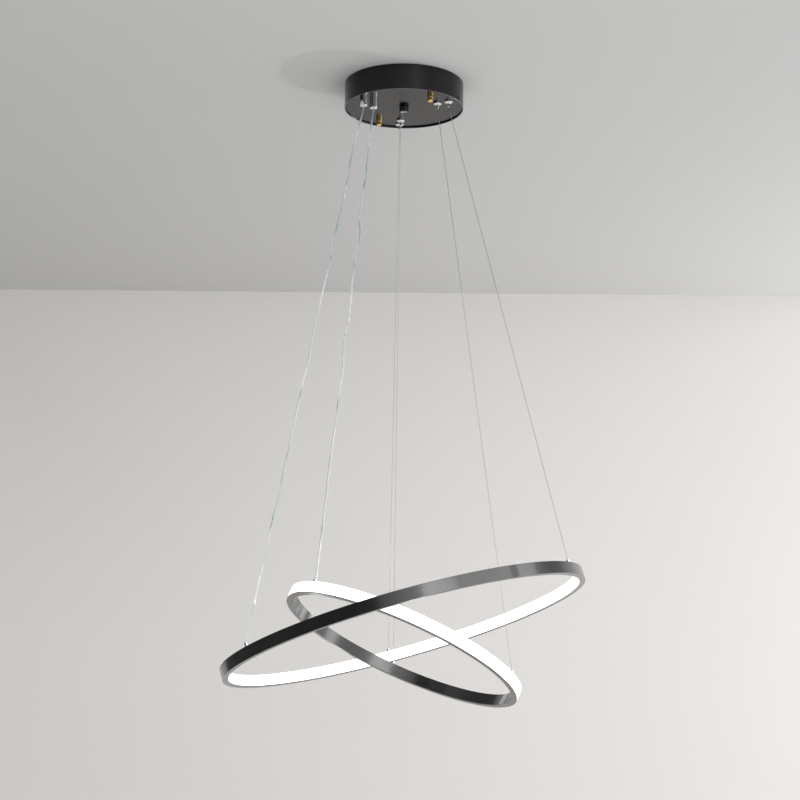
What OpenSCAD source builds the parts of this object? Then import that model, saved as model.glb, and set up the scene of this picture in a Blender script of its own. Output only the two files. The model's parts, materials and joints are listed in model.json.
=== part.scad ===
// Ring chandelier: a round ceiling canopy that carries two tilted light rings.
// Each ring hangs on two steel wires with push-pin grippers and on its own power cord.
// Millimetres, +Z up. The origin is the middle of the canopy on the ceiling plane.
// The ring and suspension angles are counted from +X, anticlockwise seen from above.

/* [Canopy] */
// Outer diameter of the canopy
canopy_d = 200; // [190:1:260]
// Height of the canopy wall
canopy_h = 43; // [42:1:60]
// Depth of the face plate inside the wall's lower edge
plate_recess = 2.5; // [1:0.1:3]
// Sheet thickness of the canopy wall
canopy_wall_t = 1.2; // [0.8:0.1:2]
// Thickness of the face plate
plate_t = 1.2; // [1:0.1:2]
// Height of the face plate's turned-up flange
plate_flange_h = 8; // [7:0.5:14]
// Angle of the first side screw, the second is opposite
side_screw_angle = -26; // [-60:1:-10]
// Height of the side screws above the face plate
side_screw_h = 1.4; // [1.4:0.1:3]

/* [Ceiling bracket] */
// Width of the bracket strip
bracket_w = 20; // [16:1:26]
// Thickness of the bracket strip
bracket_t = 2; // [1.5:0.1:2.5]
// Depth of the step near each end of the strip
bracket_step = 4; // [4:0.1:5]
// Distance of each stud from the canopy's rim
stud_inset = 25; // [22:1:27]
// Direction of the bracket
bracket_angle = 125; // [120:1:130]
// Distance between the two ceiling screw holes
ceiling_hole_pitch = 80; // [70:1:90]
// Diameter of the ceiling screw holes
ceiling_hole_d = 5; // [4:0.1:6]
// Diameter of the hole for the supply cable
cable_hole_d = 10.5; // [8:0.1:12]
// Distance between the two adjusting slots
slot_pitch = 48; // [46:1:50]
// Length of each adjusting slot
slot_len = 16; // [12:1:18]

/* [Suspension] */
// Distance of the large ring's grippers from the canopy's rim
large_grip_inset = 18; // [16:0.5:20]
// Distance of the small ring's grippers from the canopy's rim
small_grip_inset = 38; // [36:0.5:40]
// Angle of the right-hand grippers
right_grip_angle = -25; // [-28:1:-22]
// Angle of the far grippers
far_grip_angle = 95; // [92:1:98]
// Distance of the large ring's cord gland from the canopy's rim
large_gland_inset = 18; // [16:0.5:20]
// Distance of the small ring's cord gland from the canopy's rim
small_gland_inset = 38; // [36:0.5:40]
// Angle of both cord glands
gland_angle = 215; // [213:1:217]
// Diameter of the steel wires
wire_d = 1; // [0.8:0.1:1.2]
// Diameter of the power cords
cord_d = 3; // [2.4:0.1:3.2]
// Travel of a gripper's release pin
release_travel = 2; // [1:0.1:2]

/* [Rings] */
// Outer diameter of the large ring
large_d = 600; // [560:1:700]
// Outer diameter of the small ring
small_d = 400; // [360:1:440]
// Height of the ring profile
ring_h = 19; // [18:0.5:24]
// Radial depth of the ring profile
ring_depth = 10; // [10:0.1:12]
// Thickness of the diffuser's lit face
diffuser_t = 2; // [1.5:0.1:2.2]
// Thickness of the aluminium web
web_t = 1.4; // [1.2:0.1:1.6]
// Thickness of the aluminium flanges
flange_t = 1.3; // [1:0.1:1.6]
// Place of the large ring's centre
large_centre = [6, 2, -911];
// Tilt of the large ring about X and about Y
large_tilt = [-5.5, -16];
// Turn of the large ring's three suspension points
large_turn = 6; // [0:1:10]
// Place of the small ring's centre
small_centre = [5, 0, -941];
// Tilt of the small ring about X and about Y
small_tilt = [-10.5, 23.5];
// Turn of the small ring's three suspension points
small_turn = 2; // [0:1:6]
// Angle of the large ring's seam
large_seam_angle = -56; // [-70:1:-45]
// Angle of the small ring's seam
small_seam_angle = 12; // [8:1:30]

/* [Hidden] */
$fn = 48;

// Clearances: a loose fit between parts, a running fit, and the gap round a passing screw
fit = 0.1;
run_fit = 0.08;
hole_gap = 0.2;
// How far a cutting tool runs past the face that it opens
cut = 1;

// A point on a circle round the origin
function around(r, a) = [r * cos(a), r * sin(a)];

// Canopy
canopy_r = canopy_d / 2;
plate_r = canopy_r - canopy_wall_t - hole_gap;
rim_z = -canopy_h;
face_z = rim_z + plate_recess;
plate_top_z = face_z + plate_t;
edge_round = canopy_wall_t / 2;

// Side screws: M2.5 with a button head, just above the face plate
side_shank_r = 1.25;
side_head_r = 2.6;
side_screw_z = plate_top_z + side_screw_h;
side_head_h = 1.6;
side_shank_in = 4;

// Bracket, studs and thumb nuts
stud_r = 2;
stud_head_r = 4;
stud_head_h = 2.6;
stud_nut_af = 7;
stud_nut_h = 3.2;
stud_below_face = 9;
stud_circle_r = canopy_r - stud_inset;
bracket_end = 9;
bracket_flat = stud_circle_r - 17;
bracket_slope = 6;
slot_w = 5;
thumb_r = 4.5;
thumb_h = 11.3;
thumb_band_h = 4.2;
thumb_groove_r = 3.8;
thumb_groove_h = 1;
thumb_dome_h = 1.6;
thumb_ridges = 20;
thumb_ridge_depth = 0.35;

// Centre nipple and its nuts
nipple_r = 5;
nipple_bore_r = 3.6;
centre_nut_af = 14.5;
centre_nut_h = 8;
centre_nut_turn = -21.5;
centre_lock_h = 4;
nipple_above = 2;

// Driver, its tray and the terminal block
tray_t = 1.2;
tray_disc_r = 13;
tray_top_z = plate_top_z + tray_t;
driver_round = 3;
ear_len = 6;
ear_w = 12;
ear_t = 2;
driver_screw_r = 1.5;
driver_screw_head_r = 2.8;
driver_screw_head_h = 1.8;
terminal_size = [17, 28, 14];
terminal_at = around(canopy_r - 48, 27.5);
terminal_ways = 3;
terminal_well_r = 2.2;
terminal_well_depth = 8;
mains_lead_r = 1.6;
lead_z = tray_top_z + 9;
driver_w = 36;
driver_h = 22;
driver_y = -32;
driver_gland_gap = 7.5;
driver_grip_gap = 2.1;

// Cord glands
gland_r = 6;
gland_len = 10.4;
gland_cap_r = 6.35;
gland_cap_h = 4;
gland_cap_chamfer = 0.8;
gland_nipple_r = 4;
gland_nipple_len = plate_t + 6;
gland_nut_af = 13;
gland_nut_h = 3;
bush_r = 3.2;
bush_top = 3;
grub_r = 1.5;
grub_z = -7;
cord_r = cord_d / 2;
cord_bore_r = cord_r + hole_gap;
gland_end_z = face_z - gland_len - gland_cap_h;
large_gland = around(canopy_r - large_gland_inset, gland_angle);
small_gland = around(canopy_r - small_gland_inset, gland_angle);
glands = [large_gland, small_gland];

// Wire grippers, heights counted from the face plate's underside
wire_r = wire_d / 2;
wire_bore_r = wire_r + 0.25;
grip_flange_r = 7;
grip_flange_rim = 2.5;
grip_flange_h = 4.5;
grip_flange_low_r = 3.1;
grip_neck_r = 3.6;
grip_neck_h = 4;
grip_r = 5;
grip_h = 22;
grip_cap_t = 2;
pin_r = 1.75;
pin_below = 6;
pin_head_r = 2.5;
pin_head_h = 1.15;
pin_stem_r = 1.6;
pocket_r = 2.7;
pocket_top = grip_neck_h + pin_head_h + release_travel + 0.35;
cone_low_r = 2.05;
cone_high_r = 3.65;
cone_h = 5.5;
cage_gap = 0.05;
cage_z = pocket_top + 0.85;
cage_h = 4.15;
cage_low_r = 1.85;
cage_high_r = 2.3;
race_ball_r = 1.2;
race_gap = 0.03;
race_slope = atan((cone_high_r - cone_low_r) / cone_h);
race_centre_r = wire_r + race_gap + race_ball_r;
race_wall_r = race_centre_r + (race_ball_r + race_gap) / cos(race_slope);
race_z = pocket_top + (race_wall_r - cone_low_r) / tan(race_slope);
spring_mean_r = 2.6;
spring_wire_r = 0.25;
spring_turns = 4;
grip_nut_af = 14;
grip_nut_h = 5;
pin_end_z = face_z - grip_flange_h - pin_below;
wire_top_z = face_z + grip_h + 6;
wire_bend = 0.7;
wire_bend_swell = 0.04;

large_right_grip = around(canopy_r - large_grip_inset, right_grip_angle);
large_far_grip = around(canopy_r - large_grip_inset, far_grip_angle);
small_right_grip = around(canopy_r - small_grip_inset, right_grip_angle);
small_far_grip = around(canopy_r - small_grip_inset, far_grip_angle);
grips = [large_right_grip, large_far_grip, small_right_grip, small_far_grip];

// Rings: the fittings stand on the top flange, near the web. The lower flange has the full depth of
// the profile and carries the diffuser, the upper one ends behind it.
large_r = large_d / 2;
small_r = small_d / 2;
upper_depth = ring_depth - diffuser_t;
clip_len = 1.2;
clip_t = 1;
seam_gap = 0.3;
strip_t = 0.4;
strip_h = 9;
chip_size = [0.9, 5, 2.8];
chip_pitch = 30;
joiner_t = 1.6;
joiner_span = 52;
joiner_screw_r = 1.25;
joiner_screw_head_r = 2.3;
joiner_screw_spread = 30;
countersink_h = 1;
fitting_in = 4.2;
socket_r = 2.75;
socket_h = 5;
socket_shank_r = 1.5;
rivet_r = 2.1;
rivet_h = 0.8;
ball_r = 1.5;
ball_h = 3.2;
ball_exit_angle = 42;
cord_socket_h = 6;
cord_socket_shank_r = 2.2;
pigtail_drop = 4;
right_angle = -30;
far_angle = 90;
cord_angle = 210.5;
large_fit_r = large_r - fitting_in;
small_fit_r = small_r - ring_depth + fitting_in;

// A point of a tilted ring, from its radius, angle and height over the ring's mid plane
function turn_x(a, v) = [v.x, v.y * cos(a) - v.z * sin(a), v.y * sin(a) + v.z * cos(a)];
function turn_y(a, v) = [v.x * cos(a) + v.z * sin(a), v.y, v.z * cos(a) - v.x * sin(a)];
function tilted(tilt, v) = turn_y(tilt.y, turn_x(tilt.x, v));
function on_ring(centre, tilt, r, a, h) = centre + tilted(tilt, [r * cos(a), r * sin(a), h]);

function large_ball(a) = on_ring(large_centre, large_tilt, large_fit_r, a + large_turn, ring_h / 2 + ball_h);
function small_ball(a) = on_ring(small_centre, small_tilt, small_fit_r, a + small_turn, ring_h / 2 + ball_h);
function large_cord_end(h) =
    on_ring(large_centre, large_tilt, large_fit_r, cord_angle + large_turn, ring_h / 2 + cord_socket_h + h);
function small_cord_end(h) =
    on_ring(small_centre, small_tilt, small_fit_r, cord_angle + small_turn, ring_h / 2 + cord_socket_h + h);

// Routes of the cords, chosen by hand. The ends come from the gland and from the ring's socket.
large_cord_points = [
    [-70, -51, -75], [-74, -54, -91], [-80, -60, -122], [-88, -66, -162], [-94, -72, -206],
    [-103, -79, -252], [-109, -83, -283], [-113, -85, -301], [-116, -88, -329], [-123, -93, -363],
    [-129, -97, -392], [-136, -101, -428], [-141, -105, -456], [-146, -108, -485], [-149, -112, -509],
    [-153, -114, -523], [-159, -118, -553], [-167, -123, -598], [-176, -129, -646], [-185, -136, -694]];
large_tail_points = [
    [-194, -143, -742], [-203, -149, -788], [-208, -153, -821], [-215, -158, -853], [-222, -162, -887],
    [-226, -165, -910], [-228, -167, -926]];
small_cord_points = [
    [-52, -39, -71], [-54, -43, -88], [-57, -48, -121], [-61, -52, -164], [-65, -55, -200],
    [-72, -59, -247], [-70, -60, -271], [-72, -62, -299], [-77, -63, -321], [-80, -65, -348],
    [-83, -68, -389], [-87, -70, -428], [-92, -71, -448], [-94, -73, -472], [-94, -75, -503],
    [-97, -77, -528], [-101, -79, -556], [-106, -82, -608]];
small_tail_points = [
    [-113, -86, -664], [-118, -90, -722], [-124, -94, -776], [-126, -96, -800], [-128, -98, -818]];
// Straight stretch of a cord below its gland and above its socket
cord_straight = 6;
cord_end_straight = 3;

large_route = concat(
    [[large_gland.x, large_gland.y, gland_end_z], [large_gland.x, large_gland.y, gland_end_z - cord_straight]],
    large_cord_points, large_tail_points, [large_cord_end(cord_end_straight), large_cord_end(0)]);
small_route = concat(
    [[small_gland.x, small_gland.y, gland_end_z], [small_gland.x, small_gland.y, gland_end_z - cord_straight]],
    small_cord_points, small_tail_points, [small_cord_end(cord_end_straight), small_cord_end(0)]);
// Where each cord's tail begins, as a place on its route
large_split = len(large_cord_points) + 1;
small_split = len(small_cord_points) + 1;

// The driver fills the room between the small ring's gland and right-hand gripper
driver_left_x = small_gland.x + gland_nut_af / 2 / cos(30) + driver_gland_gap + ear_len;
driver_right_x = small_right_grip.x - grip_nut_af / 2 / cos(30) - driver_grip_gap - ear_len;
driver_size = [driver_right_x - driver_left_x, driver_w, driver_h];
driver_at = [(driver_left_x + driver_right_x) / 2, driver_y];

// Leads inside the canopy
large_lead_y = driver_at.y - 11;
small_lead_y = driver_at.y - 2;
mains_lead_y = driver_at.y + 13;
gland_lead_z = plate_top_z + gland_nipple_len;
large_lead_route = [
    [large_gland.x, large_gland.y, gland_end_z], [large_gland.x, large_gland.y, gland_lead_z],
    [large_gland.x + 1, large_gland.y - 0.5, lead_z - 2], [large_gland.x + 5, large_gland.y - 2, lead_z],
    [large_gland.x + 14, large_gland.y - 3, lead_z], [driver_left_x - 11, large_lead_y - 3, lead_z],
    [driver_left_x - 4, large_lead_y, lead_z], [driver_left_x, large_lead_y, lead_z]];
small_lead_route = [
    [small_gland.x, small_gland.y, gland_end_z], [small_gland.x, small_gland.y, gland_lead_z],
    [small_gland.x + 1, small_gland.y + 0.3, lead_z - 2], [small_gland.x + 5, small_gland.y + 1, lead_z],
    [driver_left_x - 4, small_lead_y, lead_z], [driver_left_x, small_lead_y, lead_z]];
mains_lead_route = [
    [driver_right_x, mains_lead_y, lead_z], [driver_right_x + 5, mains_lead_y, lead_z],
    [driver_right_x + 10, mains_lead_y + 6, lead_z], [terminal_at.x + 4, -2, lead_z],
    [terminal_at.x, terminal_at.y - terminal_size.y / 2 - 5, lead_z],
    [terminal_at.x, terminal_at.y - terminal_size.y / 2, lead_z]];

// Frames carried along a route without twist, for a round tube
function unit(v) = v / norm(v);
function tangent(p, i) = unit(p[min(i + 1, len(p) - 1)] - p[max(i - 1, 0)]);
function square_to(u, t) = unit(u - t * (u * t));
function sides_of(p, i, u) =
    i == len(p) ? [] :
    let (t = tangent(p, i), v = square_to(u, t))
    concat([[v, cross(t, v)]], sides_of(p, i + 1, v));

// A tube along a route, or along its stretch from one point to another
module tube(route, r, sides, start = 0, end = -1) {
    frames = sides_of(route, 0, [0.8, 0.6, 0]);
    final = end < 0 ? len(route) - 1 : end;
    rings = final - start + 1;
    points = [for (i = [start:final], k = [0:sides - 1])
        let (a = 360 * k / sides)
        route[i] + r * (cos(a) * frames[i][0] + sin(a) * frames[i][1])];
    skin = [for (i = [0:rings - 2], k = [0:sides - 1], half = [0, 1])
        let (a = i * sides + k, b = i * sides + (k + 1) % sides)
        half == 0 ? [a, a + sides, b] : [b, a + sides, b + sides]];
    first = [for (k = [1:sides - 2]) [0, k, k + 1]];
    last = [for (k = [1:sides - 2]) [rings * sides - sides, rings * sides - sides + k + 1, rings * sides - sides + k]];
    polyhedron(points, concat(skin, first, last));
}

module rod(a, b, r) {
    d = b - a;
    translate(a) rotate([0, acos(d.z / norm(d)), atan2(d.y, d.x)]) cylinder(h = norm(d), r = r);
}

module hex_nut(af, h, bore_r) {
    difference() {
        cylinder(h = h, r = af / 2 / cos(30), $fn = 6);
        translate([0, 0, -cut]) cylinder(h = h + 2 * cut, r = bore_r);
    }
}

module block(size, at, z, corner) {
    translate([at.x, at.y, z]) {
        translate([corner - size.x / 2, -size.y / 2, 0]) cube([size.x - 2 * corner, size.y, size.z]);
        translate([-size.x / 2, corner - size.y / 2, 0]) cube([size.x, size.y - 2 * corner, size.z]);
        for (sx = [-1, 1], sy = [-1, 1])
            translate([sx * (size.x / 2 - corner), sy * (size.y / 2 - corner), 0])
                cylinder(h = size.z, r = corner);
    }
}

module at_each(places, z) {
    for (p = places) translate([p.x, p.y, z]) children();
}

// Canopy

module canopy_wall() {
    color([0.13, 0.13, 0.13]) difference() {
        rotate_extrude($fn = 96) {
            translate([canopy_r - canopy_wall_t, rim_z + edge_round])
                square([canopy_wall_t, canopy_h - edge_round]);
            translate([canopy_r - edge_round, rim_z + edge_round]) circle(r = edge_round);
        }
        side_screw_places() rotate([0, 90, 0])
            translate([0, 0, canopy_r - 4]) cylinder(h = 8, r = side_shank_r + hole_gap);
    }
}

module side_screw_places() {
    for (a = [side_screw_angle, side_screw_angle + 180])
        rotate(a) translate([0, 0, side_screw_z]) children();
}

module canopy_plate() {
    color([0.2, 0.19, 0.18]) difference() {
        rotate_extrude($fn = 96) {
            translate([0, face_z]) square([plate_r, plate_t]);
            translate([plate_r - plate_t, face_z]) square([plate_t, plate_flange_h]);
        }
        translate([0, 0, face_z - cut]) cylinder(h = plate_t + 2 * cut, r = nipple_r + hole_gap);
        at_each(grips, face_z - cut) cylinder(h = plate_t + 2 * cut, r = grip_r + hole_gap);
        at_each(glands, face_z - cut) cylinder(h = plate_t + 2 * cut, r = gland_nipple_r + hole_gap);
        at_each(stud_places(), face_z - cut) cylinder(h = plate_t + 2 * cut, r = stud_r + hole_gap);
        side_screw_places() rotate([0, 90, 0])
            translate([0, 0, plate_r - 4]) cylinder(h = 8, r = side_shank_r + fit / 2);
    }
}

module side_screws() {
    color([0.25, 0.25, 0.25]) side_screw_places() rotate([0, 90, 0]) {
        translate([0, 0, canopy_r - side_shank_in]) cylinder(h = side_shank_in + 0.2, r = side_shank_r);
        translate([0, 0, canopy_r]) difference() {
            cylinder(h = side_head_h, r1 = side_head_r, r2 = side_head_r * 0.7);
            translate([0, 0, side_head_h - 0.9]) cylinder(h = cut + 0.9, r = 1.1, $fn = 6);
        }
    }
}

// Ceiling bracket

function stud_places() = [around(stud_circle_r, bracket_angle), around(stud_circle_r, bracket_angle + 180)];

module ceiling_bracket() {
    end_x = stud_circle_r + bracket_end;
    slope_x = bracket_flat + bracket_slope;
    low_z = -bracket_step - bracket_t;
    color([0.75, 0.76, 0.78]) rotate(bracket_angle) difference() {
        translate([0, bracket_w / 2, 0]) rotate([90, 0, 0]) linear_extrude(bracket_w)
            polygon([[-end_x, low_z], [-slope_x, low_z], [-bracket_flat, -bracket_t],
                [bracket_flat, -bracket_t], [slope_x, low_z], [end_x, low_z],
                [end_x, -bracket_step], [slope_x + 1, -bracket_step], [bracket_flat + 1, 0],
                [-bracket_flat - 1, 0], [-slope_x - 1, -bracket_step], [-end_x, -bracket_step]]);
        translate([0, 0, -bracket_t - cut]) cylinder(h = bracket_t + 2 * cut, r = cable_hole_d / 2);
        for (s = [-1, 1]) {
            translate([s * ceiling_hole_pitch / 2, 0, -bracket_t - cut])
                cylinder(h = bracket_t + 2 * cut, r = ceiling_hole_d / 2);
            translate([s * stud_circle_r, 0, low_z - cut])
                cylinder(h = bracket_t + bracket_step + cut, r = stud_r + hole_gap);
            translate([s * slot_pitch / 2, 0, -bracket_t - cut]) slot_cutter();
        }
    }
}

module slot_cutter() {
    span = slot_len - slot_w;
    translate([-span / 2, -slot_w / 2, 0]) cube([span, slot_w, bracket_t + 2 * cut]);
    for (s = [-1, 1]) translate([s * span / 2, 0, 0]) cylinder(h = bracket_t + 2 * cut, r = slot_w / 2);
}

module bracket_studs() {
    color([0.7, 0.7, 0.72]) at_each(stud_places(), 0) {
        translate([0, 0, face_z - stud_below_face])
            cylinder(h = stud_below_face - face_z - bracket_step + 0.5, r = stud_r);
        translate([0, 0, -bracket_step]) cylinder(h = stud_head_h, r1 = stud_head_r, r2 = stud_head_r - 0.8);
    }
}

module stud_lock_nuts() {
    color([0.7, 0.7, 0.72]) at_each(stud_places(), -bracket_step - bracket_t - stud_nut_h)
        hex_nut(stud_nut_af, stud_nut_h, stud_r + fit / 2);
}

module thumb_nuts() {
    color([0.85, 0.65, 0.25]) at_each(stud_places(), face_z) thumb_nut();
}

module thumb_nut() {
    groove_top = -thumb_band_h;
    lower_top = groove_top - thumb_groove_h;
    dome_top = thumb_dome_h - thumb_h;
    outline = [for (k = [0:2 * thumb_ridges - 1])
        around(thumb_r - (k % 2) * thumb_ridge_depth, 180 * k / thumb_ridges)];
    difference() {
        union() {
            translate([0, 0, groove_top]) linear_extrude(thumb_band_h) polygon(outline);
            translate([0, 0, lower_top]) cylinder(h = thumb_groove_h, r = thumb_groove_r);
            translate([0, 0, dome_top]) linear_extrude(lower_top - dome_top) polygon(outline);
            translate([0, 0, -thumb_h])
                cylinder(h = thumb_dome_h, r1 = thumb_r * 0.6, r2 = thumb_r - thumb_ridge_depth);
        }
        translate([0, 0, -stud_below_face - fit]) cylinder(h = thumb_h, r = stud_r + fit / 2);
    }
}

// Centre nipple

module centre_nipple() {
    top_z = tray_top_z + centre_lock_h + nipple_above;
    color([0.75, 0.75, 0.77]) translate([0, 0, face_z - centre_nut_h]) difference() {
        cylinder(h = top_z - face_z + centre_nut_h, r = nipple_r);
        translate([0, 0, -cut]) cylinder(h = top_z - face_z + centre_nut_h + 2 * cut, r = nipple_bore_r);
    }
}

module centre_nut() {
    color([0.06, 0.06, 0.06]) translate([0, 0, face_z - centre_nut_h]) rotate(centre_nut_turn)
        hex_nut(centre_nut_af, centre_nut_h, nipple_r + fit / 2);
}

module centre_lock_nut() {
    color([0.75, 0.75, 0.77]) translate([0, 0, tray_top_z])
        hex_nut(centre_nut_af, centre_lock_h, nipple_r + fit / 2);
}

// Driver and terminal block

module driver_tray() {
    tray_len = driver_size.x + 2 * ear_len;
    color([0.72, 0.73, 0.75]) difference() {
        union() {
            block([tray_len, driver_size.y, tray_t], driver_at, plate_top_z, driver_round);
            translate([0, 0, plate_top_z]) cylinder(h = tray_t, r = tray_disc_r);
            translate([-tray_disc_r, driver_at.y, plate_top_z]) cube([2 * tray_disc_r, -driver_at.y, tray_t]);
        }
        translate([0, 0, plate_top_z - cut]) cylinder(h = tray_t + 2 * cut, r = nipple_r + hole_gap);
        at_each(driver_screw_places(), plate_top_z - cut)
            cylinder(h = tray_t + 2 * cut, r = driver_screw_r + fit / 2);
    }
}

function driver_screw_places() =
    [for (s = [-1, 1]) [driver_at.x + s * (driver_size.x + ear_len) / 2, driver_at.y]];

module led_driver() {
    ears = [driver_size.x + 2 * ear_len, ear_w, ear_t];
    color([0.9, 0.9, 0.88]) difference() {
        union() {
            block(driver_size, driver_at, tray_top_z, driver_round);
            block(ears, driver_at, tray_top_z, 2);
        }
        at_each(driver_screw_places(), tray_top_z - cut)
            cylinder(h = ear_t + 2 * cut, r = driver_screw_r + hole_gap);
    }
}

module driver_screws() {
    color([0.7, 0.7, 0.72]) at_each(driver_screw_places(), plate_top_z) {
        cylinder(h = tray_t + ear_t + 0.2, r = driver_screw_r);
        translate([0, 0, tray_t + ear_t]) cylinder(h = driver_screw_head_h, r = driver_screw_head_r);
    }
}

module terminal_block() {
    color([0.93, 0.92, 0.88]) difference() {
        block(terminal_size, terminal_at, plate_top_z, 1);
        for (k = [1:terminal_ways])
            translate([terminal_at.x, terminal_at.y + terminal_size.y * (k / (terminal_ways + 1) - 0.5),
                plate_top_z + terminal_size.z - terminal_well_depth])
                cylinder(h = terminal_well_depth + cut, r = terminal_well_r);
    }
}

module mains_lead() {
    color([0.9, 0.9, 0.9]) tube(mains_lead_route, mains_lead_r, 8);
}

module large_inner_lead() {
    color([0.85, 0.88, 0.9]) tube(large_lead_route, cord_r, 8);
}

module small_inner_lead() {
    color([0.85, 0.88, 0.9]) tube(small_lead_route, cord_r, 8);
}

// Cord glands

module gland_barrels() {
    color([0.8, 0.8, 0.82]) at_each(glands, face_z) difference() {
        rotate_extrude() polygon([[cord_bore_r, -bush_top], [bush_r, -bush_top], [bush_r, -gland_len],
            [gland_r, -gland_len], [gland_r, 0], [gland_nipple_r, 0],
            [gland_nipple_r, gland_nipple_len], [cord_bore_r, gland_nipple_len]]);
        translate([0, 0, grub_z]) rotate([-90, 0, 0]) cylinder(h = gland_r + cut, r = grub_r + fit / 2);
    }
}

module gland_caps() {
    color([0.85, 0.85, 0.87]) at_each(glands, face_z - gland_len - gland_cap_h)
        rotate_extrude() polygon([[cord_bore_r, 0], [gland_cap_r - gland_cap_chamfer, 0],
            [gland_cap_r, gland_cap_chamfer], [gland_cap_r, gland_cap_h], [cord_bore_r, gland_cap_h]]);
}

module gland_bushes() {
    color([0.15, 0.15, 0.15]) at_each(glands, face_z - gland_len) difference() {
        cylinder(h = gland_len - bush_top - fit, r = bush_r - fit);
        translate([0, 0, -cut]) cylinder(h = gland_len + cut, r = cord_r + fit);
    }
}

module gland_lock_nuts() {
    color([0.75, 0.75, 0.77]) at_each(glands, plate_top_z)
        hex_nut(gland_nut_af, gland_nut_h, gland_nipple_r + fit / 2);
}

module gland_grub_screws() {
    color([0.3, 0.3, 0.3]) at_each(glands, face_z + grub_z) rotate([-90, 0, 0])
        translate([0, 0, bush_r]) difference() {
            cylinder(h = gland_r - bush_r - fit, r = grub_r);
            translate([0, 0, (gland_r - bush_r) / 2]) cylinder(h = gland_r, r = 0.8, $fn = 6);
        }
}

// Wire grippers

module gripper_flanges() {
    color([0.85, 0.85, 0.87]) at_each(grips, face_z)
        rotate_extrude() polygon([[pin_r + fit, -grip_flange_h], [grip_flange_low_r, -grip_flange_h],
            [grip_flange_r, -grip_flange_rim], [grip_flange_r, 0], [grip_neck_r, 0],
            [grip_neck_r, grip_neck_h], [pin_r + fit, grip_neck_h]]);
}

module gripper_barrels() {
    cone_top = pocket_top + cone_h;
    neck_bore_r = grip_neck_r + fit / 2;
    color([0.8, 0.8, 0.82]) at_each(grips, face_z)
        rotate_extrude() polygon([[neck_bore_r, 0], [grip_r, 0], [grip_r, grip_h], [wire_bore_r, grip_h],
            [wire_bore_r, grip_h - grip_cap_t], [cone_high_r, grip_h - grip_cap_t],
            [cone_high_r, cone_top], [cone_low_r, pocket_top], [pocket_r, pocket_top],
            [pocket_r, grip_neck_h + fit / 2], [neck_bore_r, grip_neck_h + fit / 2]]);
}

module gripper_lock_nuts() {
    color([0.75, 0.75, 0.77]) at_each(grips, plate_top_z) hex_nut(grip_nut_af, grip_nut_h, grip_r + fit / 2);
}

module gripper_springs() {
    low = cage_z + cage_h + spring_wire_r + cage_gap;
    high = grip_h - grip_cap_t - spring_wire_r - cage_gap;
    steps = spring_turns * 8;
    route = [for (i = [0:steps])
        let (a = 360 * spring_turns * i / steps)
        [spring_mean_r * cos(a), spring_mean_r * sin(a), low + (high - low) * i / steps]];
    echo("least gap between the spring's curls", (high - low) / spring_turns - 2 * spring_wire_r);
    color([0.6, 0.6, 0.62]) at_each(grips, face_z) tube(route, spring_wire_r, 6);
}

module plunger(place) {
    head_z = grip_neck_h + cage_gap;
    color([0.85, 0.85, 0.87]) translate([place.x, place.y, face_z])
        rotate_extrude() polygon([[wire_bore_r, -grip_flange_h - pin_below],
            [pin_r - 0.35, -grip_flange_h - pin_below], [pin_r, 0.35 - grip_flange_h - pin_below],
            [pin_r, head_z], [pin_head_r, head_z], [pin_head_r, head_z + pin_head_h],
            [pin_stem_r, head_z + pin_head_h], [pin_stem_r, cage_z - cage_gap],
            [wire_bore_r, cage_z - cage_gap]]);
}

module cage(place) {
    color([0.7, 0.7, 0.72]) translate([place.x, place.y, face_z + cage_z]) {
        rotate_extrude() polygon([[wire_bore_r, 0], [cage_low_r, 0], [cage_high_r, cage_h], [wire_bore_r, cage_h]]);
        for (a = [0, 120, 240])
            rotate(a) translate([race_centre_r, 0, race_z - cage_z]) sphere(r = race_ball_r);
    }
}

module large_right_plunger() { plunger(large_right_grip); }
module large_right_cage() { cage(large_right_grip); }
module large_far_plunger() { plunger(large_far_grip); }
module large_far_cage() { cage(large_far_grip); }
module small_right_plunger() { plunger(small_right_grip); }
module small_right_cage() { cage(small_right_grip); }
module small_far_plunger() { plunger(small_far_grip); }
module small_far_cage() { cage(small_far_grip); }

// Steel wires: straight up through the gripper, bent at the pin's mouth, then taut to the ball

module wire(place, ball) {
    bend = [place.x, place.y, pin_end_z - wire_bend];
    low = ball + unit(bend - ball) * ball_r;
    color([0.65, 0.65, 0.66]) {
        translate(bend) cylinder(h = wire_top_z - bend.z, r = wire_r);
        translate(bend) sphere(r = wire_r + wire_bend_swell);
        rod(bend, low, wire_r);
    }
}

module large_right_wire() { wire(large_right_grip, large_ball(right_angle)); }
module large_far_wire() { wire(large_far_grip, large_ball(far_angle)); }
module small_right_wire() { wire(small_right_grip, small_ball(right_angle)); }
module small_far_wire() { wire(small_far_grip, small_ball(far_angle)); }

module large_wire_balls() {
    color([0.75, 0.75, 0.76]) for (a = [right_angle, far_angle]) translate(large_ball(a)) sphere(r = ball_r);
}

module small_wire_balls() {
    color([0.75, 0.75, 0.76]) for (a = [right_angle, far_angle]) translate(small_ball(a)) sphere(r = ball_r);
}

// Power cords

module large_power_cord() { color([0.8, 0.84, 0.87]) tube(large_route, cord_r, 8, 0, large_split); }
module small_power_cord() { color([0.8, 0.84, 0.87]) tube(small_route, cord_r, 8, 0, small_split); }
module large_cord_tail() { color([0.8, 0.84, 0.87]) tube(large_route, cord_r, 8, large_split); }
module small_cord_tail() { color([0.8, 0.84, 0.87]) tube(small_route, cord_r, 8, small_split); }

// Rings: the profile is drawn from the web's outer face towards the lit side

module place_large() {
    translate(large_centre) rotate([large_tilt.x, large_tilt.y, 0]) children();
}

module place_small() {
    translate(small_centre) rotate([small_tilt.x, small_tilt.y, 0]) children();
}

// The large ring is lit inside, so its profile is mirrored. The small ring is lit outside.
module sweep_in(r) {
    rotate_extrude($fn = 180) translate([r, 0]) mirror([1, 0]) children();
}

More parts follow.
